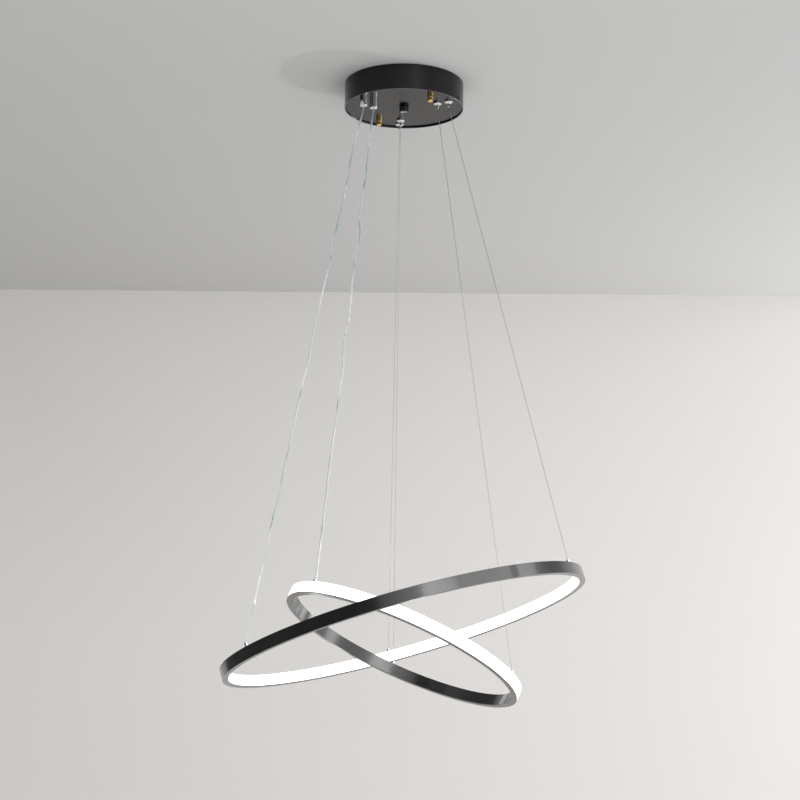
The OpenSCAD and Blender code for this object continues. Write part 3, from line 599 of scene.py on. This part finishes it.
def add_bump(shader, height, depth, strength):
    """Bump of a depth in millimetres."""
    inputs = {"Strength": strength, "Distance": depth * MM, "Height": height}
    drive(shader, "Normal", add_node(shader.id_data, "Bump", inputs).outputs["Normal"])


def shade(rgb, factor):
    return tuple(min(c * factor, 1.0) for c in rgb)


# Each ring's band beside its seam, painted into the colour, as painted shade on the large ring and
# as a painted highlight on the small ring: degrees from the seam, half its width in degrees,
# brightness
SEAM_PAINTED_BANDS = {"large": (1.8, 1.3, 0.6), "small": (2.5, 0.55, 3.0)}


def seam_painted_light(shader, ring):
    """A band beside the seam, painted into the colour: darker on the large ring, a painted shade,
    and brighter on the small ring, a painted highlight.
    """
    tree = shader.id_data
    offset, half_width, brightness = SEAM_PAINTED_BANDS[ring]
    middle = getattr(settings().rings, ring + "_seam") + radians(offset)
    turn = split_xyz(tree, uv_vector(shader, "profile"))["Y"]
    off = maths(tree, "ABSOLUTE", maths(tree, "SUBTRACT", turn, middle / (2 * pi)))
    half = half_width / 360
    fade = add_node(tree, "MapRange", {"Value": off, "From Min": 0.8 * half,
                                       "From Max": 1.2 * half, "To Min": brightness})
    tinted = scaled(tree, colour_source(shader), fade.outputs["Result"])
    drive(shader, "Base Color", tinted)


# Materials

def brushed_round(shader, rgb, roughness, ring=None):
    """Metal or lacquer brushed round its axis, on the canopy's wall or on a tilted ring."""
    set_shader(shader, rgb, 1.0, roughness, Anisotropic=0.75)
    vector = object_vector(shader, ring)
    brushing = placed_group(shader, "Turned brushing", vector, Fineness=2200.0)
    vary_colour(shader, brushing["Streak"], shade(rgb, 0.7), shade(rgb, 1.32))
    # Painted shade and painted highlight in a band beside the seam
    if ring:
        seam_painted_light(shader, ring)
    vary_roughness(shader, brushing["Drift"], roughness - 0.06, roughness + 0.08)
    add_bump(shader, brushing["Streak"], 0.02, 0.35)
    tangent = add_node(shader.id_data, "Tangent", direction_type="UV_MAP", uv_map="profile")
    drive(shader, "Tangent", tangent.outputs[0])


def plate_lacquer(shader, rgb, roughness):
    """Half-gloss lacquer over straight brushing."""
    set_shader(shader, rgb, 1.0, roughness)
    brushing = placed_group(shader, "Straight brushing", object_vector(shader), Fineness=1800.0)
    vary_colour(shader, brushing["Streak"], shade(rgb, 0.85), shade(rgb, 1.15))
    vary_roughness(shader, brushing["Drift"], roughness - 0.06, roughness + 0.06)
    add_bump(shader, brushing["Streak"], 0.01, 0.25)


def polished(shader, rgb, roughness, scale=90.0):
    """Polished or plated metal with faint smudges and dust."""
    set_shader(shader, rgb, 1.0, roughness)
    marks = placed_group(shader, "Handling", object_vector(shader), Scale=scale)
    vary_colour(shader, marks["Dust"], rgb, shade(rgb, 0.75))
    vary_roughness(shader, marks["Smudge"], roughness, roughness + 0.12)


def grained(shader, rgb, metallic, roughness, scale=2500.0, depth=0.01):
    """Moulded, plated or blackened surface with a fine grain."""
    set_shader(shader, rgb, metallic, roughness)
    vector = object_vector(shader)
    fine = placed_group(shader, "Grain", vector, Scale=scale)["Grain"]
    smudge = placed_group(shader, "Handling", vector, Scale=70.0)["Smudge"]
    vary_colour(shader, smudge, rgb, shade(rgb, 0.9))
    vary_roughness(shader, fine, roughness - 0.07, roughness + 0.09)
    add_bump(shader, fine, depth, 0.5)


def stranded(shader, rgb, metallic, roughness, count, turns, groove_shade, cast=False):
    """Twisted strands on a tube's UV map. The grooves between them are darkened by a factor, a
    painted shade, and a colour cast may come and go along them."""
    set_shader(shader, rgb, metallic, roughness)
    vector = uv_vector(shader, "along")
    lay = placed_group(shader, "Strands", vector, Count=count, Turns=turns)["Lay"]
    # Painted shade in the grooves between the strands
    vary_colour(shader, lay, shade(rgb, groove_shade), rgb)
    if cast:
        clean = above(shader.id_data, noise(shader.id_data, vector, 1.7, 1.0), 0.42, 7.0)
        vary_colour(shader, clean, settings().finishes.core_cast, colour_source(shader))
    add_bump(shader, lay, 0.12, 1.0)


def clear_sheath(shader, rgb):
    set_shader(shader, rgb, 0.0, 0.08, IOR=1.36, Transmission_Weight=1.0)
    smudge = placed_group(shader, "Handling", object_vector(shader), Scale=200.0)["Smudge"]
    vary_roughness(shader, smudge, 0.05, 0.16)


def opal_diffuser(shader, rgb):
    set_shader(shader, rgb, 0.0, 0.45, Emission_Strength=1.6)
    smudge = placed_group(shader, "Handling", object_vector(shader), Scale=30.0)["Smudge"]
    vary_colour(shader, smudge, rgb, shade(rgb, 0.97))
    vary_colour(shader, smudge, rgb, shade(rgb, 0.98), "Emission Color")


def light_board(shader, rgb):
    set_shader(shader, rgb, 0.0, 0.5)
    dots = placed_group(shader, "Grain", object_vector(shader), Scale=900.0)["Grain"]
    vary_colour(shader, dots, rgb, settings().finishes.phosphor)


def room_paint(shader, rgb):
    """Matt paint that shows from inside the room alone."""
    set_shader(shader, rgb, 0.0, 0.9, Specular_IOR_Level=0.1)
    tree = shader.id_data
    behind = add_node(tree, "NewGeometry").outputs["Backfacing"]
    clear = add_node(tree, "BsdfTransparent").outputs[0]
    mix = add_node(tree, "MixShader", (behind, shader.outputs[0], clear))
    tree.links.new(mix.outputs[0], tree.nodes["Material Output"].inputs["Surface"])


# Each material's maker, its colour among the finishes, and what else its maker is given
FINISHES = {
    "Large ring brushing": (brushed_round, "black_nickel", 0.2, "large"),
    "Small ring brushing": (brushed_round, "black_nickel", 0.2, "small"),
    "Canopy brushing": (brushed_round, "canopy", 0.3),
    "Canopy edge": (polished, "canopy_edge", 0.25),
    "Canopy lining": (grained, "canopy_lining", 1.0, 0.3),
    "Plate lacquer": (plate_lacquer, "plate", 0.2),
    "Bright nickel": (polished, "nickel", 0.08),
    "Polished brass": (polished, "brass", 0.16),
    "Drawn steel": (polished, "steel", 0.25),
    "Spring wire": (polished, "steel", 0.22, 150.0),
    "Zinc plate": (grained, "zinc", 1.0, 0.36),
    "Blackened steel": (grained, "blackened", 0.6, 0.34),
    "White plastic": (grained, "white_plastic", 0.0, 0.42, 1500.0, 0.02),
    "Natural plastic": (grained, "natural_plastic", 0.0, 0.35, 1500.0, 0.01),
    "Rubber": (grained, "rubber", 0.0, 0.6, 1800.0, 0.03),
    "Wire strands": (stranded, "steel", 1.0, 0.3, 6.0, 16.0, 0.65),
    "Tinned cores": (stranded, "core", 0.0, 0.4, 5.0, 9.0, 0.85, True),
    "Clear sheath": (clear_sheath, "sheath"),
    "Opal diffuser": (opal_diffuser, "opal"),
    "Light board": (light_board, "board"),
    "Ceiling paint": (room_paint, "ceiling"),
    "Wall paint": (room_paint, "wall"),
    "Floor paint": (room_paint, "floor"),
    "Dark cloth": (set_shader, "cloth", 0.0, 0.9),
}


def finish(name):
    """The material of that name, made the first time that it is asked for."""
    material = bpy.data.materials.get(name)
    if not material:
        material = bpy.data.materials.new(name)
        material.use_nodes = True
        maker, colour_name, *values = FINISHES[name]
        shader = material.node_tree.nodes["Principled BSDF"]
        maker(shader, getattr(settings().finishes, colour_name), *values)
    return material


# Camera

class CHANDELIER_OT_camera(Operator):
    """Sets up the camera where the photograph was taken from, below and in front of the light"""
    bl_idname = "chandelier.camera"
    bl_label = "Camera"

    location = (-2.7, -2899, -1069)
    upward, roll = 10.31, 0.46
    lens, sensor_width = 81.0, 36.0

    def execute(self, context):
        data = bpy.data.cameras.new("Camera")
        data.lens = self.lens
        data.sensor_width = self.sensor_width
        camera = add_object("Camera", data)
        camera.location = Vector(self.location) * MM
        aim = (Matrix.Rotation(radians(90 + self.upward), 3, "X")
               @ Matrix.Rotation(radians(self.roll), 3, "Z"))
        camera.rotation_euler = aim.to_euler()
        context.scene.camera = camera
        return {"FINISHED"}


# Cords: points of each cord's route in millimetres, down to its tail and along its tail
CORD_POINTS = {
    "large": [
        (-70, -51, -75), (-74, -54, -91), (-80, -60, -122), (-88, -66, -162), (-94, -72, -206),
        (-103, -79, -252), (-109, -83, -283), (-113, -85, -301), (-116, -88, -329),
        (-123, -93, -363), (-129, -97, -392), (-136, -101, -428), (-141, -105, -456),
        (-146, -108, -485), (-149, -112, -509), (-153, -114, -523), (-159, -118, -553),
        (-167, -123, -598), (-176, -129, -646), (-185, -136, -694)],
    "small": [
        (-52, -39, -71), (-54, -43, -88), (-57, -48, -121), (-61, -52, -164), (-65, -55, -200),
        (-72, -59, -247), (-70, -60, -271), (-72, -62, -299), (-77, -63, -321), (-80, -65, -348),
        (-83, -68, -389), (-87, -70, -428), (-92, -71, -448), (-94, -73, -472), (-94, -75, -503),
        (-97, -77, -528), (-101, -79, -556), (-106, -82, -608)],
}
TAIL_POINTS = {
    "large": [
        (-194, -143, -742), (-203, -149, -788), (-208, -153, -821), (-215, -158, -853),
        (-222, -162, -887), (-226, -165, -910), (-228, -167, -926)],
    "small": [
        (-113, -86, -664), (-118, -90, -722), (-124, -94, -776), (-126, -96, -800),
        (-128, -98, -818)],
}
# Places on each span between two of these points
SPAN_STEPS = 4


def cord_route(ring):
    """The cord's whole route and the place on it where its tail begins."""
    canopy, rings, lines = settings().canopy, settings().rings, settings().lines
    gland = canopy_place(ring, "gland")
    gland.z -= canopy.gland_length
    straight = [gland, gland - Vector((0, 0, lines.straight))]
    upper, tail = ([Vector(point) * MM for point in table[ring]]
                   for table in (CORD_POINTS, TAIL_POINTS))
    ends = [on_ring(ring, CORD_SIDE, rings.cord_socket + lines.end_straight),
            on_ring(ring, CORD_SIDE, rings.cord_socket)]
    split = (len(straight) + len(upper) - 1) * SPAN_STEPS
    return smooth_route([*straight, *upper, *tail, *ends], SPAN_STEPS), split


def shorten_with_height(piece):
    """Gives a line its own copy of its mesh."""
    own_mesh(piece)


class CHANDELIER_OT_cords(Operator):
    """Hangs the two clear power cords between their glands and the rings"""
    bl_idname = "chandelier.cords"
    bl_label = "Power cords"

    sheath_sides, core_sides = 16, 8

    def execute(self, context):
        for ring in RINGS:
            path, split = cord_route(ring)
            frames = frames_along(path)
            upper, tail = path[:split + 1], path[split:]
            pieces = self.stretch(ring, "upper", "power_cord", frames[:split + 1], "canopy")
            for piece in pieces:
                shorten_with_height(piece)
            self.declare(*pieces, upper)
            pieces = self.stretch(ring, "tail", "cord_tail", frames[split:], None)
            for piece in pieces:
                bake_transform(piece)
            self.declare(*pieces, tail)
        return {"FINISHED"}

    def stretch(self, ring, part, node, frames, body):
        """One stretch of a clear cord: its sheath and the two twisted cores in it."""
        name = f"{ring}_cord_{part}"
        lines = settings().lines
        sheath = tube_object(name + "_sheath", frames, lines.cord / 2, self.sheath_sides,
                             "Clear sheath")
        bm = bmesh.new()
        for phase in (0, pi):
            add_tube(bm, frames, lines.core / 2, self.core_sides, lines.core_spread,
                     lines.core_twist, phase)
        bmesh.ops.recalc_face_normals(bm, faces=bm.faces)
        cores = object_from(bm, name + "_cores", "Tinned cores")
        settle(sheath, body, [f"{ring}_{node}"])
        settle(cores, body)
        return sheath, cores

    def declare(self, sheath, cores, path):
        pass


# Steel wires

class CHANDELIER_OT_wires(Operator):
    """Draws the four steel wires from their grippers to their ball ends"""
    bl_idname = "chandelier.wires"
    bl_label = "Steel wires"

    # Millimetres
    below_pin, spare_end = 0.7, 28
    spans, sides = 12, 12

    def execute(self, context):
        for ring in RINGS:
            for side in WIRE_SIDES:
                self.hang(ring, side, settings().lines.wire / 2)
        return {"FINISHED"}

    def hang(self, ring, side, radius):
        """The taut wire below the gripper, and the end that is held in it and stands over it."""
        grip = canopy_place(ring, side + "_grip")
        bend = grip - Vector((0, 0, settings().canopy.pin_length + self.below_pin * MM))
        ball = ball_place(ring, side)
        low = ball + (bend - ball).normalized() * settings().rings.ball
        path = [bend.lerp(low, k / self.spans) for k in range(self.spans + 1)]
        name = f"{ring}_{side}_wire"
        wire = tube_object(name + "_taut", frames_along(path), radius, self.sides, "Wire strands")
        settle(wire, "canopy", [name])
        shorten_with_height(wire)
        top = grip + Vector((0, 0, self.spare_end * MM))
        bm = bmesh.new()
        add_tube(bm, frames_along([bend, bend.lerp(top, 0.5), top]), radius, self.sides)
        bmesh.ops.create_uvsphere(bm, u_segments=self.sides, v_segments=self.sides // 2,
                                  radius=radius, matrix=Matrix.Translation(bend))
        bmesh.ops.recalc_face_normals(bm, faces=bm.faces)
        settle(object_from(bm, name + "_held", "Wire strands"), "canopy")


# Canopy

class CHANDELIER_OT_canopy(Operator):
    """Makes the canopy's turned wall and finishes its face plate"""
    bl_idname = "chandelier.canopy"
    bl_label = "Canopy"

    steps = 192
    edge_band, lining_band = 0.2 * MM, 0.1 * MM

    def execute(self, context):
        sizes = settings().canopy
        inside = CANOPY_RADIUS - sizes.wall
        outline = [(CANOPY_RADIUS, WALL_LOW.z), (CANOPY_RADIUS, 0),
                   (inside, 0), (inside, WALL_LOW.z)]
        bm = spun(outline, self.steps, sizes.edge)
        lay_profile_uv(bm)
        wall = object_from(bm, "canopy_wall_turned", "Canopy brushing")
        wall.data.materials.append(finish("Canopy lining"))
        wall.data.materials.append(finish("Canopy edge"))
        # The lowest band of the wall takes the lighter edge colour, a painted glint on its polished
        # edge
        for face in wall.data.polygons:
            on_glint = face.center.z < WALL_LOW.z + self.edge_band
            on_lining = face.center.to_2d().length < inside + self.lining_band
            face.material_index = 2 if on_glint else int(on_lining)
        even_normals(wall)
        settle(wall, "canopy", ["canopy_wall"])
        dressed("canopy_plate", "Plate lacquer", 0.15)
        return {"FINISHED"}


class CHANDELIER_OT_fixings(Operator):
    """Finishes the thumb nuts, the hexagon nut and the side screws"""
    bl_idname = "chandelier.fixings"
    bl_label = "Canopy fixings"

    def execute(self, context):
        dressed("thumb_nuts", "Polished brass", 0.12)
        dressed("centre_nut", "Blackened steel", 0.5, 3)
        dressed("centre_nipple", "Zinc plate", 0.3)
        dressed("side_screws", "Blackened steel", 0.15)
        return {"FINISHED"}


class CHANDELIER_OT_glands(Operator):
    """Finishes the two cord glands"""
    bl_idname = "chandelier.glands"
    bl_label = "Cord glands"

    def execute(self, context):
        dress_alike("Bright nickel", "nickel", gland_barrels=0.2, gland_caps=0.2)
        dressed("gland_lock_nuts", "Zinc plate", 0.25)
        dressed("gland_grub_screws", "Blackened steel", 0.08)
        coated("gland_bushes", "Rubber")
        return {"FINISHED"}


class CHANDELIER_OT_grippers(Operator):
    """Finishes the four wire grippers, their release pins and their springs"""
    bl_idname = "chandelier.grippers"
    bl_label = "Wire grippers"

    # Millimetres
    spring_radius, spring_wire = 2.6, 0.5
    spring_turns, steps_a_turn, wire_sides = 4, 20, 8

    def execute(self, context):
        dress_alike("Bright nickel", "nickel", gripper_flanges=0.12, gripper_barrels=0.12)
        dressed("gripper_lock_nuts", "Zinc plate", 0.3)
        stands_for = ["gripper_springs"]
        for ring in RINGS:
            for side in WIRE_SIDES:
                name = f"{ring}_{side}_"
                self.spring(name, canopy_place(ring, side + "_grip"), stands_for)
                stands_for = []
                dressed(name + "plunger", "Bright nickel", 0.1)
                coated(name + "cage", "Drawn steel")
        return {"FINISHED"}

    def spring(self, name, grip, nodes):
        """A coil round the wire, which is pressed together when its release pin is pushed in."""
        wire = self.spring_wire * MM / 2
        low, high = (corner.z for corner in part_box("gripper_springs"))
        steps = self.spring_turns * self.steps_a_turn
        path = [grip + around(self.spring_radius * MM, 2 * pi * k / self.steps_a_turn)
                for k in range(steps + 1)]
        for k, point in enumerate(path):
            point.z = low + wire + (high - low - 2 * wire) * k / steps
        coil = tube_object(name + "spring", frames_along(path), wire, self.wire_sides,
                           "Spring wire")
        settle(coil, "canopy", nodes)
        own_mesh(coil)


class CHANDELIER_OT_inside(Operator):
    """Finishes the ceiling bracket, the driver on its tray, the terminal block and the leads"""
    bl_idname = "chandelier.inside"
    bl_label = "Inside the canopy"

    def execute(self, context):
        dress_alike("Zinc plate", "zinc", ceiling_bracket=0.3, bracket_studs=0.2,
                    stud_lock_nuts=0.25, centre_lock_nut=0.4, driver_tray=0.2)
        dressed("led_driver", "White plastic", 0.8, 3)
        dressed("driver_screws", "Zinc plate", 0.3)
        dressed("terminal_block", "Natural plastic", 0.4)
        for node in ("mains_lead", "large_inner_lead", "small_inner_lead"):
            coated(node, "White plastic")
        return {"FINISHED"}


# Rings

def channel_outline(ring):
    """The aluminium channel's corners as radii and heights, open towards the lit side.
    Its lower flange carries the diffuser and its upper one ends behind it."""
    sizes = settings().rings
    lip = sizes.depth - sizes.diffuser
    half, inner = sizes.height / 2, sizes.height / 2 - sizes.flange
    corners = [(0, -half), (sizes.depth, -half), (sizes.depth, -inner), (sizes.web, -inner),
               (sizes.web, inner), (lip, inner), (lip, half), (0, half)]
    return [(profile_radius(ring, depth), z) for depth, z in corners]


def diffuser_outline(ring):
    """The diffuser's lit face with its two clip legs."""
    sizes = settings().rings
    gap, leg, leg_depth = 0.1 * MM, 1.0 * MM, 1.2 * MM
    half, lip = sizes.height / 2, sizes.depth - sizes.diffuser
    high = half - sizes.flange - gap
    corners = [(sizes.depth, -high), (sizes.depth, half), (lip + gap, half), (lip + gap, high),
               (lip - leg_depth, high), (lip - leg_depth, high - leg), (lip + gap, high - leg),
               (lip + gap, leg - high), (lip - leg_depth, leg - high), (lip - leg_depth, -high)]
    return [(profile_radius(ring, depth), z) for depth, z in corners]


def ring_piece(ring, bm, name, finish_name, node):
    """Tilts a turned piece into its ring's place and puts it on the ring."""
    bm.transform(ring_matrix(ring))
    piece = object_from(bm, f"{ring}_{name}", finish_name)
    even_normals(piece)
    settle(piece, ring + "_ring", [f"{ring}_{node}"])


class CHANDELIER_OT_channels(Operator):
    """Bends the two aluminium channels to rings and closes each with its seam"""
    bl_idname = "chandelier.channels"
    bl_label = "Ring channels"

    steps = 360

    def execute(self, context):
        sizes = settings().rings
        for ring in RINGS:
            gap = sizes.seam / outer_radius(ring)
            seam = getattr(sizes, ring + "_seam")
            bm = spun(channel_outline(ring), self.steps, sizes.edge,
                      start=seam + gap / 2, sweep=2 * pi - gap)
            lay_profile_uv(bm)
            ring_piece(ring, bm, "channel_bent", ring.capitalize() + " ring brushing",
                       "channel")
        return {"FINISHED"}


class CHANDELIER_OT_diffusers(Operator):
    """Makes the two opal diffusers"""
    bl_idname = "chandelier.diffusers"
    bl_label = "Diffusers"

    steps = 360
    edge = 0.15

    def execute(self, context):
        for ring in RINGS:
            bm = spun(diffuser_outline(ring), self.steps, self.edge * MM, 2)
            ring_piece(ring, bm, "diffuser_opal", "Opal diffuser", "diffuser")
        return {"FINISHED"}


class CHANDELIER_OT_ring_fittings(Operator):
    """Finishes the sockets, ball ends, joiners and light strips of the rings"""
    bl_idname = "chandelier.ring_fittings"
    bl_label = "Ring fittings"

    def execute(self, context):
        for ring in RINGS:
            dress_alike("Bright nickel", "nickel",
                        **{ring + "_wire_sockets": 0.15, ring + "_cord_socket": 0.15})
            dressed(ring + "_joiner_screws", "Drawn steel", 0.08)
            dressed(ring + "_joiner", "Zinc plate", 0.15)
            dressed(ring + "_wire_balls", "Drawn steel", 0)
            coated(ring + "_led_strip", "Light board")
        return {"FINISHED"}


# Room and lights

class CHANDELIER_OT_stage(Operator):
    """Builds the plain ceiling, wall and floor, and lights them softly from the right"""
    bl_idname = "chandelier.stage"
    bl_label = "Room and lights"

    # Metres
    floor_half = 3.0
    wall_half, wall_y = 1.35, 1.48
    floor_z, ceiling_z = -2.4, 0.0005
    ceiling_half, ceiling_front = 1.12, -0.55
    corner_overlap, hole_margin = 0.01, 0.004
    flag_radius, flag_top, flag_steps = 3.5, 2.4, 48
    flag_start, flag_end = radians(131), radians(256)

    # Each lamp: place, aim, width and height, watts, and whether metal mirrors it
    lamps = {
        "key_light": ((2.47, 1.31, -1.07), (-0.4, 0.7, -0.2), (0.07, 0.07), 25, True),
        "floor_light": ((0, -0.6, floor_z + 0.02), (0, -0.6, 0), (5.6, 3.8), 18, True),
        "wall_light": ((-0.1, -1.1, -0.03), (-0.1, 1.48, -1.2), (3.6, 0.5), 16, False),
        "front_softbox": ((1.07, -2.66, -0.3), (0, 0, -0.9), (1.1, 0.9), 8.7, True),
        "right_softbox": ((2.9, -0.5, -0.75), (0, 0, -0.9), (0.75, 1.6), 8, True),
        "high_softbox": ((2.6, -1.35, 0.36), (0, 0, -0.9), (3.1, 0.6), 8, True),
        "low_softbox": ((1.9, 1.95, -1.5), (-0.2, 0.05, -0.93), (0.9, 0.5), 3, True),
    }

    # Brightness of the world by compass degrees, and straight to the left
    compass_light = (
        (-114, 0.7), (-101, 0.5), (-89, 0.9), (-76, 1.0), (-57, 1.0), (-46, 0.7), (-36, 0.75),
        (-25, 0.8), (-14, 1.0), (5, 1.0), (18, 0.5), (31, 0.45), (43, 0.8), (59, 1.0), (110, 0.6),
        (140, 0.7))
    end_light = 0.7

    def execute(self, context):
        depth = (self.wall_y - self.ceiling_front) / 2
        self.panel("ceiling", (0, self.wall_y - depth, self.ceiling_z), pi,
                   (self.ceiling_half, depth), "Ceiling paint", CANOPY_RADIUS - self.hole_margin)
        self.panel("floor", (0, self.wall_y - self.floor_half, self.floor_z), 0,
                   (self.floor_half, self.floor_half), "Floor paint")
        self.panel("back_wall", (0, self.wall_y, self.floor_z / 2), pi / 2,
                   (self.wall_half, self.corner_overlap - self.floor_z / 2), "Wall paint")
        for name, values in self.lamps.items():
            self.lamp(name, *values)
        self.flag()
        self.surroundings(context)
        return {"FINISHED"}

    def panel(self, name, centre, turn, half_sizes, finish_name, hole=0.0):
        """A flat panel. A hole at the middle of the canopy lets light into it from above."""
        bm = bmesh.new()
        half_x, half_y = half_sizes
        corners = [bm.verts.new((x * half_x, y * half_y, 0))
                   for x, y in ((-1, -1), (1, -1), (1, 1), (-1, 1))]
        for a, b in zip(corners, corners[1:] + corners[:1]):
            bm.edges.new((a, b))
        if hole:
            bmesh.ops.create_circle(bm, segments=64, radius=hole,
                                    matrix=Matrix.Translation((0, centre[1], 0)))
        bmesh.ops.triangle_fill(bm, edges=bm.edges, use_beauty=True, use_dissolve=False)
        bm.normal_update()
        bmesh.ops.reverse_faces(bm, faces=[f for f in bm.faces if f.normal.z < 0])
        bm.transform(Matrix.Translation(centre) @ Matrix.Rotation(turn, 4, "X"))
        object_from(bm, name, finish_name)

    def flag(self):
        """A dark cloth on the left for the black metal to mirror, out of the camera's sight."""
        bm = bmesh.new()
        foot, head = (bm.verts.new(around(self.flag_radius, self.flag_start, z))
                      for z in (self.floor_z, self.flag_top))
        bmesh.ops.spin(bm, geom=[foot, head, bm.edges.new((foot, head))], cent=(0, 0, 0),
                       axis=(0, 0, 1), angle=self.flag_end - self.flag_start,
                       steps=self.flag_steps)
        cloth = object_from(bm, "dark_flag", "Dark cloth")
        cloth.visible_camera = cloth.visible_transmission = False

    def lamp(self, name, location, aim, sizes, watts, mirrored):
        data = bpy.data.lights.new(name, "AREA")
        data.shape = "RECTANGLE"
        data.size, data.size_y = sizes
        data.energy = watts
        lamp = add_object(name, data)
        lamp.location = location
        lamp.visible_camera = False
        lamp.visible_glossy = mirrored
        lamp.rotation_euler = (Vector(aim) - Vector(location)).to_track_quat("-Z", "Y").to_euler()

    def surroundings(self, context):
        """A pale world that changes with the compass, lightest in front and on the right."""
        world = bpy.data.worlds.new("Studio")
        world.use_nodes = True
        tree = world.node_tree
        x, y, _ = split_xyz(tree, add_node(tree, "TexCoord").outputs["Generated"])
        turn = maths(tree, "MULTIPLY_ADD", maths(tree, "ARCTAN2", y, x), 0.5 / pi, 0.5)
        levels = add_node(tree, "ValToRGB", [turn])
        ramp = levels.color_ramp
        for end in ramp.elements:
            end.color = (self.end_light,) * 3 + (1,)
        for degrees, level in self.compass_light:
            ramp.elements.new((degrees + 180) / 360).color = (level,) * 3 + (1,)
        tree.links.new(levels.outputs[0], tree.nodes["Background"].inputs["Color"])
        context.scene.world = world


class CHANDELIER_PT_panel(Panel):
    """Lists the chandelier's operators in the sidebar"""
    bl_idname = "CHANDELIER_PT_panel"
    bl_label = "Ring chandelier"
    bl_space_type = "VIEW_3D"
    bl_region_type = "UI"
    bl_category = "Chandelier"

    def draw(self, context):
        for operator in OPERATORS:
            self.layout.operator(operator.bl_idname)


OPERATORS = (
    CHANDELIER_OT_camera, CHANDELIER_OT_cords, CHANDELIER_OT_wires, CHANDELIER_OT_canopy,
    CHANDELIER_OT_fixings, CHANDELIER_OT_glands, CHANDELIER_OT_grippers, CHANDELIER_OT_inside,
    CHANDELIER_OT_channels, CHANDELIER_OT_diffusers, CHANDELIER_OT_ring_fittings,
    CHANDELIER_OT_stage,
)
CLASSES = (CanopySizes, RingSizes, LineSizes, FinishColours, ChandelierSettings,
           *OPERATORS, CHANDELIER_PT_panel)


def register():
    for cls in CLASSES:
        bpy.utils.register_class(cls)
    bpy.types.Scene.chandelier = PointerProperty(type=ChandelierSettings)


def unregister():
    del bpy.types.Scene.chandelier
    for cls in reversed(CLASSES):
        bpy.utils.unregister_class(cls)


def main():
    register()
    bpy.context.scene.view_settings.view_transform = "Standard"
    for operator in OPERATORS:
        getattr(bpy.ops.chandelier, operator.bl_idname.split(".")[1])()


if __name__ == "__main__":
    main()
